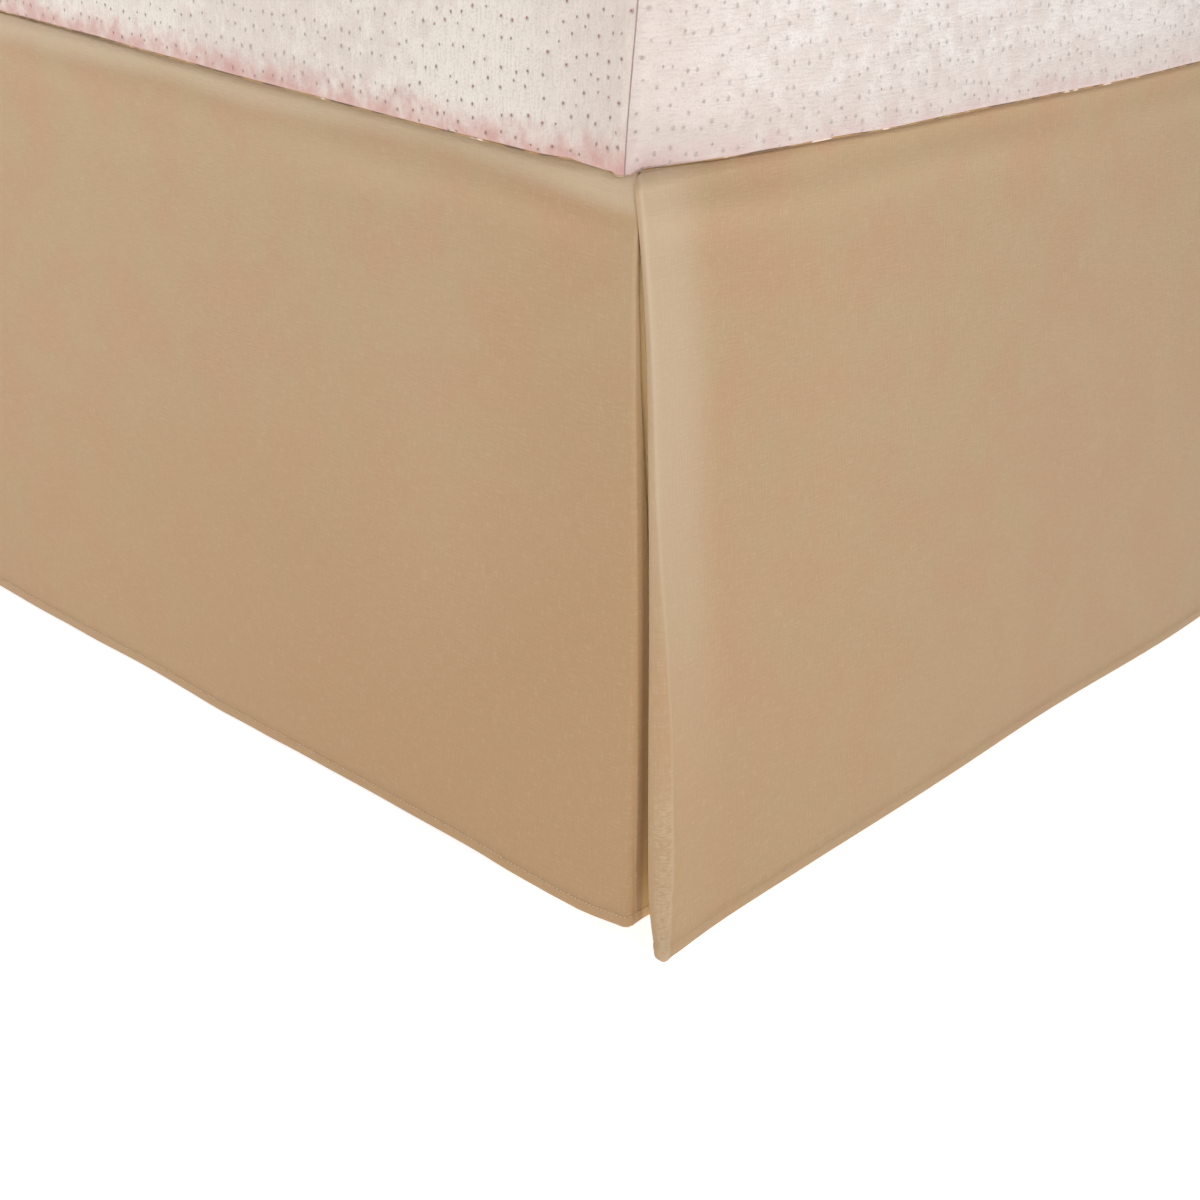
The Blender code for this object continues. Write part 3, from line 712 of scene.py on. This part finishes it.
# Soft ridges (+) and troughs (-) of the outer layer: where along the panel and how far down
# its middle lies, its half length, half width and height, all in mm, and its slope in degrees, downwards
# away from the corner.
footCreases = (
    (9, 5, 15, 3, 1.0, -12), (20, 12, 26, 5, -1.0, -8), (62, 19, 50, 7, 0.7, -4),
    (140, 22, 60, 8, 0.7, 3), (185, 36, 55, 9, -0.6, 8), (330, 30, 90, 12, 0.8, 6),
    (420, 24, 60, 9, 0.7, -6), (36, 60, 40, 10, 0.5, 38), (300, 180, 140, 60, 0.9, 55),
    (120, 250, 120, 50, -0.7, 70), (470, 120, 120, 50, 0.8, 60),
)
sideCreases = (
    (48, 12, 46, 6, 0.8, 3), (30, 26, 30, 8, -0.5, 10), (150, 20, 80, 9, 0.6, -3), (330, 24, 90, 10, 0.6, 4),
    (70, 150, 130, 26, 0.9, 84), (115, 170, 150, 24, -0.7, 86), (260, 180, 160, 60, 0.8, 80),
    (430, 200, 150, 60, -0.8, 75),
)


def creaseHeight(table, along, fall):
    # how proud all of a table's ridges and troughs make this place
    total = 0.0
    for middle, down, halfLength, halfWidth, height, slope in table:
        run, rise = along * 1000 - middle, fall * 1000 - down
        turn = math.radians(slope)
        lengthwise = run * math.cos(turn) + rise * math.sin(turn)
        across = rise * math.cos(turn) - run * math.sin(turn)
        reach = (lengthwise / halfLength) ** 2 + (across / halfWidth) ** 2
        if reach < 9:       # further off it adds nothing
            total += height / 1000 * math.exp(-reach)
    return total


# The cloth's swell just under the seam: where along the panel (mm) and how proud (mm) it stands.
footSwell = (
    (0, 0.2), (20, 0.9), (60, 1.7), (120, 1.0), (190, 1.8), (260, 0.8), (330, 1.5), (420, 1.3), (520, 0.7),
    (764, 1.2),
)
sideSwell = (
    (0, 0.2), (25, 0.8), (70, 1.2), (140, 0.8), (240, 1.1), (340, 0.6), (460, 1.0), (700, 0.7), (2040, 1.0),
)
swell = {"down": 0.015, "reach": 0.0085}
# How far behind the outer layer this relief ends, and the share of the drop over which it starts.
relief = {"depth": 0.004, "start": 0.025}


def reliefOf(creases, swells, along, share):
    fall = share * (skirt["drop"] - skirt["shoulder"])
    proud = lookUp(swells, max(along, 0)) * fade(fall - swell["down"], swell["reach"])
    return proud + creaseHeight(creases, along, fall)


def placeInRoom(point, share, angle, side):
    # a plan point in the room: round the seam's shoulder while there is an angle, then down the drop
    out, back, leanOut, leanBack, depth = point
    shoulder = skirt["shoulder"]
    radius = max(shoulder - depth, skirt["leastRadius"])
    inward = (shoulder - depth - radius * math.cos(angle)) if angle else 0.0
    shown = 0.0 if angle else (1 - ease(depth / relief["depth"])) * ease(share / relief["start"])
    if leanBack == 1:
        proud = reliefOf(footCreases, footSwell, -out, share) * shown if shown else 0.0
        back += inward - proud
        out -= max(inward, 0) * math.exp(min(out, 0) / skirt["mitreReach"])
    elif leanOut == -1:
        proud = reliefOf(sideCreases, sideSwell, back, share) * shown if shown else 0.0
        out -= inward - proud
        back += max(inward, 0) * math.exp(-max(back, 0) / skirt["mitreReach"])
    else:
        out += inward * leanOut
        back += inward * leanBack
    height = skirt["deckZ"] - shoulder + radius * math.sin(angle)
    height += -share * (skirt["drop"] - shoulder) + hemHeight(point, share)
    return Vector((side * (skirt["hangX"] + out), skirt["footY"] + back, height))


hem = {"step": 0.0020, "roundRows": (0.0016, 0.0008, 0.0003), "stitchUp": 0.0063}


def rowList():
    # (share of the drop, shoulder angle, thickness share) of each row, from the seam to the hem's edge
    thin = skirt["cloth"] / skirt["hemCloth"]
    fall = skirt["drop"] - skirt["shoulder"]
    listed = [(0.0, math.radians(angle), thin) for angle in range(90, 0, -detail["shoulderStep"])]
    hemTop = 1 - skirt["hemDepth"] / fall
    count = round(fall * hemTop / detail["rowStep"])
    listed += [(hemTop * row / count, 0.0, thin) for row in range(count)]
    for past, thick in ((0.0, thin), (0.4, 0.9), (1.0, 1.0)):
        listed.append((hemTop + past * hem["step"] / fall, 0.0, thick))
    listed.append((1 - 0.5 * skirt["hemDepth"] / fall, 0.0, 0.96))
    for up, thick in zip(hem["roundRows"], (1.0, 0.92, 0.75)):
        listed.append((1 - up / fall, 0.0, thick))
    listed.append((1.0, 0.0, 0.40))
    return listed


rowsOfCloth = rowList()


def thickenCloth(item, thickness):
    layer = item.modifiers.new("cloth", "SOLIDIFY")
    layer.thickness = thickness
    layer.offset = 0.0
    return layer


def runAlong(points):
    # how far each point is along the line through them
    run = [0.0]
    for before, after in zip(points, points[1:]):
        run.append(run[-1] + (after - before).length)
    return run


def fromFolds(line, folds):
    # how far each column is from the nearest fold, towards the panel
    run = runAlong(line)
    ahead = [1 if fold > len(line) / 2 else -1 for fold in folds]
    return [min(((run[fold] - at) * way for fold, way in zip(folds, ahead)), key=abs) for at in run]


def hangCloth(name, columnsOfRow, folds, finish):
    # a flat grid of cloth, laid on its hanging lines row by row and given its thickness
    placed = [columnsOfRow(*row[:2]) for row in rowsOfCloth]
    columns, rows = len(placed[0]), len(placed)
    across, down = runAlong(placed[rows // 2]), runAlong([line[columns // 2] for line in placed])
    shape = bmesh.new()
    bmesh.ops.create_grid(shape, x_segments=columns - 1, y_segments=rows - 1, size=0.5)
    flat, edge = shape.loops.layers.uv.new("flat"), shape.loops.layers.uv.new("edge")
    weights = shape.verts.layers.deform.verify()
    distances = [fromFolds(line, folds) for line in placed]
    spots, edges = {}, {}
    for vert in shape.verts:
        column = round((vert.co.x + 0.5) * (columns - 1))
        row = round((0.5 - vert.co.y) * (rows - 1))
        spots[vert] = (across[column], -down[row])
        edges[vert] = (distances[row][column], down[-1] - down[row])
        vert.co = placed[row][column]
        vert[weights][0] = rowsOfCloth[row][2]
    for face in shape.faces:
        for loop in face.loops:
            loop[flat].uv = spots[loop.vert]
            loop[edge].uv = edges[loop.vert]
    item = addObject(name, shape, finish)
    item.vertex_groups.new(name="thickness")
    layer = thickenCloth(item, skirt["hemCloth"])
    layer.vertex_group = "thickness"
    layer.thickness_vertex_group = 0.0
    return item


footPhases = {1: 0.4, -1: 2.3}
sidePhases = {1: 1.1, -1: 3.0}


def footColumns(share, angle):
    halves = {}
    for side in (1, -1):
        line = footHalf(share, footPhases[side], sidePhases[side])
        halves[side] = [placeInRoom(point, share, angle, side) for point in line]
    return list(reversed(halves[-1])) + halves[1]


def sideColumns(side):
    def columns(share, angle):
        return [placeInRoom(point, share, angle, side) for point in sideLine(share, sidePhases[side])]
    return columns


perHalf = len(footHalf(0.5, footPhases[1], sidePhases[1]))


def hangDrops():
    rightFold = perHalf + len(footStations) + footFace["turned"]
    footDrop = hangCloth("skirtFootDrop", footColumns, (2 * perHalf - 1 - rightFold, rightFold), footCloth)
    sideTurn = len(sideStations) + sideFace["turned"]
    sideDrops = {side: hangCloth(name, sideColumns(side), (sideTurn,), sideCloth)
                 for side, name in ((1, "skirtSideDropRight"), (-1, "skirtSideDropLeft"))}
    return footDrop, sideDrops


footDrop, sideDrops = hangDrops()
print("drops hung")

stitch = {
    "pitch": 0.0026, "length": 0.0019, "width": 0.00052, "height": 0.00046, "sink": 0.00004,
    "above": 0.004,     # share of the drop to the row that shows which way is up
    "batch": 40,
}


def sewHem(name, columnsOfRow, keep, outwards):
    # a row of stitches on the outer face, this far above the hem's edge
    fall = skirt["drop"] - skirt["shoulder"]
    share = 1 - hem["stitchUp"] / fall
    line = columnsOfRow(share, 0.0)
    above = columnsOfRow(share - stitch["above"], 0.0)
    places, carried = [], 0.0
    for index in keep(len(line)):
        start, end = line[index], line[index + 1]
        run = end - start
        if run.length < 1e-6:
            continue
        along = run.normalized()
        upward = (above[index] - start).normalized()
        face = along.cross(upward).normalized() * outwards
        at = carried
        while at < run.length:
            middle = start + along * at + face * (skirt["hemCloth"] / 2 - stitch["sink"])
            axes = Matrix((along * stitch["length"], face.cross(along).normalized() * stitch["width"],
                           face * stitch["height"])).transposed().to_4x4()
            places.append(Matrix.Translation(middle) @ axes)
            at += stitch["pitch"]
        carried = at - run.length
    whole = bmesh.new()
    for first in range(0, len(places), stitch["batch"]):
        few = bmesh.new()
        for place in places[first:first + stitch["batch"]]:
            bmesh.ops.create_icosphere(few, subdivisions=1, radius=0.5, matrix=place)
        bmesh.ops.recalc_face_normals(few, faces=few.faces)
        carrier = bpy.data.meshes.new("stitches")
        few.to_mesh(carrier)
        few.free()
        whole.from_mesh(carrier)
        bpy.data.meshes.remove(carrier)
    return addObject(name, whole, hemThread)


footPanel = len(footStations) + detail["turnSteps"] // 2 + 3
backCount = perHalf - footPanel
sidePanel = len(sideStations) + detail["turnSteps"] // 2 + 2
footStitches = sewHem("footHemStitches", footColumns, lambda count: range(backCount, count - backCount), 1)
sideStitches = {side: sewHem(name, sideColumns(side), lambda count: range(0, sidePanel), side)
                for side, name in ((1, "rightHemStitches"), (-1, "leftHemStitches"))}
print("hems sewn")

def fitTo(shape, low, high):
    # scales and moves a unit shape into its box
    bmesh.ops.scale(shape, vec=high - low, verts=shape.verts)
    bmesh.ops.translate(shape, vec=(low + high) / 2, verts=shape.verts)


deck = {"cellsAcross": 90, "cellsAlong": 120, "seamInset": 0.0062, "seamCord": 0.0003, "seamStep": 0.03}


def layDeck():
    low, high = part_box("deck")
    shape = bmesh.new()
    bmesh.ops.create_grid(shape, x_segments=deck["cellsAcross"], y_segments=deck["cellsAlong"], size=0.5)
    fitTo(shape, low, high)
    flat = shape.loops.layers.uv.new("flat")
    for face in shape.faces:
        for loop in face.loops:
            loop[flat].uv = loop.vert.co.xy
    item = addObject("skirtDeck", shape, deckCloth)
    thickenCloth(item, skirt["cloth"])
    return item


deckPiece = layDeck()
print("deck laid")

mattress = {
    "corner": 0.014, "cornerSteps": 8, "seamStep": 3, "seamAside": 0.0039,
    "lowEdge": 0.0030, "lowEdgeSteps": 5, "topEdge": 0.030, "topEdgeSteps": 6,
    "cell": 0.016, "cellNear": 0.008, "nearReach": 0.5, "nearHeight": 0.10,
    "sideFade": 0.55, "fadeHeight": 0.09,       # how much the sides' unevenness fades with height
    "faceDepth": 0.045, "faceEase": 0.040,      # how far in from a face it moves with it
    "edgeDepth": 0.014, "edgeEase": 0.010, "edgeHeight": 0.016,
    "tipDroop": 0.0040, "tipReach": 0.0086, "tipAside": 0.0062, "tipHeight": 0.030,
    "puff": 0.0009, "puffs": ((26.0, 0.6), (61.0, 0.4)),      # repeats in a metre, and share
    "puffFrom": 0.002, "puffEase": 0.01,
    "seamDepth": 0.0012, "seamWidth": 0.0025, "seamReach": 0.02, "seamEase": 0.01,
    "seamCord": 0.0003, "seamRow": 0.006, "seamTop": 0.012,
    "seamFeet": (0.0012, 0.0025, 0.004),        # heights of its lowest places
    "proud": 0.0001,                            # how far seam and welt stand off the cover
    "firstCut": 0.0075,
    "welt": 0.0006, "weltIn": 0.55, "weltUp": 0.12,     # the last two are shares of the low edge's rounding
    "weltSideStep": 0.02, "weltFootStep": 0.012, "weltCornerSteps": 8, "weltLean": -0.8,
    "weltWobble": 0.0004, "weltWobbles": 40,
}
# How far the mattress's side stands out, from the corner along each face (both in mm); a low edge that
# stands out also sags by a third of it.
sideStand = (
    (0, -9.0), (12, -11.0), (25, -10.5), (45, -6.0), (70, -3.0), (120, -0.4), (180, 2.0), (240, 1.8),
    (310, 2.7), (385, 3.8), (490, 1.8), (700, 0.8), (1000, 1.8), (1500, 0.6), (2040, -0.6),
)
footStand = (
    (0, -1.8), (25, -3.0), (42, -0.6), (62, 1.6), (140, 2.2), (205, 1.6), (275, 1.4), (350, 0.0),
    (430, -3.4), (490, -4.8), (560, -6.0), (770, -6.0),
)


def cutAlong(shape, axis, places):
    # loops of cuts across the given axis
    for place in places:
        point, normal = [0, 0, 0], [0, 0, 0]
        point[axis], normal[axis] = place, 1
        bmesh.ops.bisect_plane(shape, geom=shape.verts[:] + shape.edges[:] + shape.faces[:],
                               plane_co=point, plane_no=normal, dist=1e-6)


def spread(low, high, step):
    # places between the two ends, about a step apart, without the ends
    count = max(1, round(abs(high - low) / step))
    return [low + (high - low) * index / count for index in range(1, count)]


def roundEdges(shape, chosen, radius, segments):
    edges = [edge for edge in shape.edges if chosen(edge)]
    bmesh.ops.bevel(shape, geom=edges, offset=radius, offset_type="OFFSET", segments=segments, profile=0.5,
                    affect="EDGES", clamp_overlap=True, material=-1)


def isUpright(edge):
    return abs((edge.verts[0].co - edge.verts[1].co).normalized().z) > 0.99


def atHeight(height):
    return lambda edge: all(abs(vert.co.z - height) < 1e-5 for vert in edge.verts)


def box(low, high):
    shape = bmesh.new()
    bmesh.ops.create_cube(shape, size=1.0)
    fitTo(shape, low, high)
    return shape


def roundedBox(low, high, values):
    # a box with its upright, low and top edges rounded
    shape = box(low, high)
    for chosen, edge in ((isUpright, "corner"), (atHeight(low.z), "lowEdge"), (atHeight(high.z), "topEdge")):
        roundEdges(shape, chosen, values[edge], values[edge + "Steps"])
    return shape


def mattressShift(co, normal, low, high):
    # how far a point of the plain mattress moves: its uneven sides, tucked corners and sagging low edge
    up = co.z - low.z
    toFoot, nearX = co.y - low.y, min(high.x - co.x, co.x - low.x)
    outX = math.copysign(1, co.x)
    fading = 1 - mattress["sideFade"] * ease(up / mattress["fadeHeight"])
    lowPart = 1 - ease(up / mattress["edgeHeight"])
    sideOut, footOut = lookUp(sideStand, max(toFoot, 0)), lookUp(footStand, max(nearX, 0))
    atSide, atFoot = (ease((mattress["faceDepth"] - inside) / mattress["faceEase"])
                      for inside in (nearX, toFoot))
    move = Vector((outX * sideOut * fading * atSide, -footOut * fading * atFoot, 0))
    edge = max(ease((mattress["edgeDepth"] - inside) / mattress["edgeEase"]) * max(stand, 0)
               for inside, stand in ((nearX, sideOut), (toFoot, footOut)))
    move.z -= lowPart * edge / 3
    # the corner's tip hangs a little
    tip = fade(math.hypot(nearX - mattress["tipAside"], toFoot), mattress["tipReach"])
    move.z -= mattress["tipDroop"] * tip * (1 - ease(up / mattress["tipHeight"]))
    # unevenness of the padded cover
    puff = sum(noise.noise(co * repeats) * share for repeats, share in mattress["puffs"])
    move += normal * mattress["puff"] * puff * ease((up - mattress["puffFrom"]) / mattress["puffEase"])
    # the seam pulls the cover in along the upright corner
    diagonal = abs(nearX - toFoot - mattress["seamAside"]) / math.sqrt(2)
    groove = mattress["seamDepth"] * fade(diagonal, mattress["seamWidth"])
    return move - normal * groove * ease((mattress["seamReach"] - min(nearX, toFoot)) / mattress["seamEase"])


def makeMattress():
    low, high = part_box("mattress")
    shape = roundedBox(low, high, mattress)
    near, far, rim = mattress["cellNear"], mattress["cell"], mattress["topEdge"]
    first, fine = low.z + mattress["firstCut"], low.z + mattress["nearHeight"]
    reach = low.y + mattress["nearReach"]
    cutAlong(shape, 0, spread(low.x + rim, high.x - rim, far))
    cutAlong(shape, 1, spread(low.y + rim, reach, near) + spread(reach, high.y - rim, far))
    cutAlong(shape, 2, spread(first, fine, near) + spread(fine, high.z - rim, far))
    shape.normal_update()
    flat = shape.loops.layers.uv.new("flat")
    for face in shape.faces:
        across = abs(face.normal.x) > coverLayout["sideFrom"] * abs(face.normal.y)
        level = abs(face.normal.z) > coverLayout["levelFrom"]
        away = coverLayout["top"] if face.normal.z > 0 else coverLayout["under"]
        for loop in face.loops:
            co = loop.vert.co
            if level:
                loop[flat].uv = (co.x + coverLayout["level"], co.y + away)
            else:
                along = abs(co.y - low.y) if across else co.x + coverLayout["foot"]
                loop[flat].uv = (along, co.z - low.z)
    moves = {vert: mattressShift(vert.co, vert.normal, low, high) for vert in shape.verts}
    for vert, move in moves.items():
        vert.co += move
    bmesh.ops.triangulate(shape, faces=[face for face in shape.faces if len(face.verts) > 4])
    return addObject("mattressBody", shape, mattressKnit)


mattressBody = makeMattress()


def cordAlong(name, spots, radius, finish, sides=6):
    # a fine cord through the given places
    shape = bmesh.new()
    ring = bmesh.ops.create_circle(shape, cap_ends=True, segments=sides, radius=radius)["verts"]
    ahead = (spots[1] - spots[0]).normalized()
    turn = Vector((0, 0, 1)).rotation_difference(ahead)
    bmesh.ops.rotate(shape, cent=(0, 0, 0), matrix=turn.to_matrix(), verts=ring)
    bmesh.ops.translate(shape, vec=spots[0], verts=ring)
    end = shape.faces[:]
    for index in range(1, len(spots)):
        pulled = bmesh.ops.extrude_face_region(shape, geom=end)["geom"]
        if index > 1:
            bmesh.ops.delete(shape, geom=[face for face in end if face.is_valid], context="FACES_ONLY")
        end = [part for part in pulled if isinstance(part, bmesh.types.BMFace)]
        verts = [part for part in pulled if isinstance(part, bmesh.types.BMVert)]
        bmesh.ops.translate(shape, vec=spots[index] - spots[index - 1], verts=verts)
        last, ahead = ahead, (spots[min(index + 1, len(spots) - 1)] - spots[index - 1]).normalized()
        turn = last.rotation_difference(ahead).to_matrix()
        bmesh.ops.rotate(shape, cent=spots[index], matrix=turn, verts=verts)
    bmesh.ops.recalc_face_normals(shape, faces=shape.faces)
    return addObject(name, shape, finish)


def sewCorner(name, side):
    # the cover's upright seam at a foot corner: a fine cord sunk in its groove
    low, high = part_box("mattress")
    corner, edge = mattress["corner"], mattress["lowEdge"]
    turn = math.pi / 2 * mattress["seamStep"] / mattress["cornerSteps"]
    normal = Vector((side * math.sin(turn), -math.cos(turn), 0))
    x, y = side * (high.x - corner) + corner * normal.x, low.y + corner + corner * normal.y
    feet = [low.z + up for up in mattress["seamFeet"]]
    end = high.z - mattress["seamTop"]
    spots = []
    for height in feet + spread(feet[-1], end, mattress["seamRow"]) + [end]:
        below = max(edge - (height - low.z), 0)
        co = Vector((x, y, height)) - normal * (edge - math.sqrt(edge ** 2 - below ** 2))
        spots.append(co + mattressShift(co, normal, low, high) + normal * mattress["proud"])
    return cordAlong(name, spots, mattress["seamCord"], coverSeam)


def sewWelt():
    # the cover's fine welt along its low edge, on the foot and both sides
    low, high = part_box("mattress")
    edge, corner = mattress["lowEdge"], mattress["corner"]
    inset, height = edge * mattress["weltIn"], low.z + edge * mattress["weltUp"]
    # half the way round, from the head: each place and the way its face looks
    half = [(high.x - inset, y, 1, 0) for y in spread(high.y, low.y + corner, mattress["weltSideStep"])]
    for step in range(mattress["weltCornerSteps"] + 1):
        turn = math.pi / 2 * step / mattress["weltCornerSteps"]
        radius, nx, ny = corner - inset, math.cos(turn), -math.sin(turn)
        half.append((high.x - corner + radius * nx, low.y + corner + radius * ny, nx, ny))
    half += [(x, low.y + inset, 0, -1) for x in spread(high.x - corner, 0, mattress["weltFootStep"])]
    mirrored = [(-x, y, -nx, ny) for x, y, nx, ny in reversed(half)]
    spots = []
    for x, y, nx, ny in half + mirrored:
        co, normal = Vector((x, y, height)), Vector((nx, ny, mattress["weltLean"])).normalized()
        wobble = mattress["weltWobble"] * noise.noise(Vector((x, y, 0)) * mattress["weltWobbles"])
        spots.append(co + mattressShift(co, normal, low, high) + normal * (wobble + mattress["proud"]))
    return cordAlong("mattressWelt", spots, mattress["welt"], coverWelt)


coverSeams = [sewCorner("mattressSeamFootRight", 1), sewCorner("mattressSeamFootLeft", -1), sewWelt()]
print("mattress made")


def sewDeckSeam():
    # the ridge of the seam between the deck and the drops
    inset, step, height = deck["seamInset"], deck["seamStep"], skirt["deckZ"] + skirt["cloth"] / 2
    right, front = skirt["hangX"] - inset, skirt["footY"] + inset
    half = [Vector((right, y, height)) for y in spread(skirt["headY"], front, step)]
    half += [Vector((right, front, height))]
    half += [Vector((x, front, height)) for x in spread(right, 0, step)]
    spots = half + [Vector((-spot.x, spot.y, spot.z)) for spot in reversed(half)]
    return cordAlong("skirtDeckSeam", spots, deck["seamCord"], clothSeam)


deckSeam = sewDeckSeam()
print("deck seam sewn")

boxSpring = {
    "corner": 0.030, "cornerSteps": 8,
    "lowEdge": 0.006, "lowEdgeSteps": 3, "topEdge": 0.012, "topEdgeSteps": 4,
}


def makeBoxSpring():
    shape = roundedBox(*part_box("box_spring"), boxSpring)
    bmesh.ops.triangulate(shape, faces=[face for face in shape.faces if len(face.verts) > 4])
    return addObject("boxSpringBody", shape, boxTicking)


boxBody = makeBoxSpring()
print("box spring made")

bedFrame = {
    "edge": 0.0012, "edgeSteps": 2, "legSides": 32, "legRadius": 0.016, "glide": 0.012, "glideEdge": 0.003,
}


def softBox(name, low, high, finish):
    shape = box(low, high)
    roundEdges(shape, lambda edge: True, bedFrame["edge"], bedFrame["edgeSteps"])
    return addObject(name, shape, finish)


def makeLeg(name):
    # a tube on a wider glide, turned from its outline
    low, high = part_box(name)
    middle, tall = (low + high) / 2, high.z - low.z
    foot, tube = (high.x - low.x) / 2, bedFrame["legRadius"]
    glide, edge = bedFrame["glide"], bedFrame["glideEdge"]
    outline = (
        (0, 0), (foot - edge, 0), (foot, edge), (foot, glide - edge), (tube, glide), (tube, tall), (0, tall),
    )
    shape = bmesh.new()
    points = [shape.verts.new((across, 0, up)) for across, up in outline]
    line = [shape.edges.new(pair) for pair in zip(points, points[1:])]
    bmesh.ops.spin(shape, geom=points + line, cent=(0, 0, 0), axis=(0, 0, 1), angle=2 * math.pi,
                   steps=bedFrame["legSides"], use_merge=True)
    bmesh.ops.remove_doubles(shape, verts=shape.verts, dist=1e-5)
    bmesh.ops.recalc_face_normals(shape, faces=shape.faces)
    bmesh.ops.translate(shape, vec=(middle.x, middle.y, low.z), verts=shape.verts)
    item = addObject("frame" + name.title().replace("_", ""), shape, frameSteel)
    item.data.materials.append(glidePlastic)
    for face in item.data.polygons:
        face.material_index = 1 if face.center.z < low.z + glide else 0
    return item


legs = {f"leg_{side}_{count}": makeLeg(f"leg_{side}_{count}")
        for side in ("left", "centre", "right") for count in (1, 2, 3)}
bars = {f"cross_bar_{count}": softBox(f"frameCrossBar{count}", *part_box(f"cross_bar_{count}"), frameSteel)
        for count in (1, 2, 3)}
for name in ("rail_left", "rail_right"):
    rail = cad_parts[name]
    rail.data.materials.clear()
    rail.data.materials.append(frameSteel)
print("frame made")

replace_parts(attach(footDrop, "root"), "foot_drop")
for side, node in ((1, "side_drop_right"), (-1, "side_drop_left")):
    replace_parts(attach(sideDrops[side], "root"), node)
    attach(sideStitches[side], "root")
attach(footStitches, "root")
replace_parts(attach(deckPiece, "root"), "deck")
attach(deckSeam, "root")
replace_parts(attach(mattressBody, "root"), "mattress")
for seam in coverSeams:
    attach(seam, "root")
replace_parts(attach(boxBody, "root"), "box_spring")
for node, piece in legs.items():
    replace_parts(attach(piece, "root"), node)
for node, piece in bars.items():
    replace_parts(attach(piece, "root"), node)

studio = {
    "floor": (0.80, 0.80, 0.80), "floorGlow": 0.81, "floorReach": 20,
    "sky": (1.0, 1.0, 1.0), "skyStrength": 0.187,
    "front": {"place": (1.9, -2.4, 1.2), "aim": (0.8, -0.95, 0.25), "size": 0.5, "power": 6.54},
    "left": {"place": (-0.2, -1.55, 1.0), "aim": (0.2, -1.0, 0.35), "size": 0.5, "power": 3.48},
    "right": {"place": (1.75, -1.3, 1.05), "aim": (0.8, -0.95, 0.25), "size": 0.4, "power": 4.36},
    "side": {"place": (2.6, -0.6, 2.0), "aim": (0.8, -0.6, 0.25), "size": 1.6, "power": 4.64},
    "top": {"place": (0, 0, 4.2), "aim": (0, 0, 0.6), "size": 1.4, "power": 8.0, "spread": 64},
}


def makeStudio():
    shape = bmesh.new()
    bmesh.ops.create_grid(shape, x_segments=4, y_segments=4, size=studio["floorReach"])
    finish, tree, shader = newFinish("studioFloor")
    colour = blendColour(tree, speckle(tree, 1.5), [0.99 * c for c in studio["floor"]], studio["floor"])
    fillIn(tree, shader, {
        "Base Color": colour, "Roughness": 0.9, "Specular IOR Level": 0.1,
        "Emission Color": (1, 1, 1, 1), "Emission Strength": studio["floorGlow"],
    })
    floor = addObject("studioFloor", shape, finish, smooth=False)
    sky = bpy.data.worlds.new("studioSky")
    sky.use_nodes = True
    glow = {"Color": (*studio["sky"], 1), "Strength": studio["skyStrength"]}
    fillIn(sky.node_tree, sky.node_tree.nodes["Background"], glow)
    scene.world = sky
    for name in ("front", "left", "right", "side", "top"):
        values = studio[name]
        place, aim = Vector(values["place"]), Vector(values["aim"])
        light = bpy.data.lights.new(name, "AREA")
        light.shape = "DISK"
        light.size = values["size"]
        light.energy = values["power"]
        light.spread = math.radians(values.get("spread", 180))
        lamp = bpy.data.objects.new(name, light)
        lamp.location = place
        lamp.rotation_euler = (aim - place).to_track_quat("-Z", "Y").to_euler()
        scene.collection.objects.link(lamp)


makeStudio()
print("studio set")
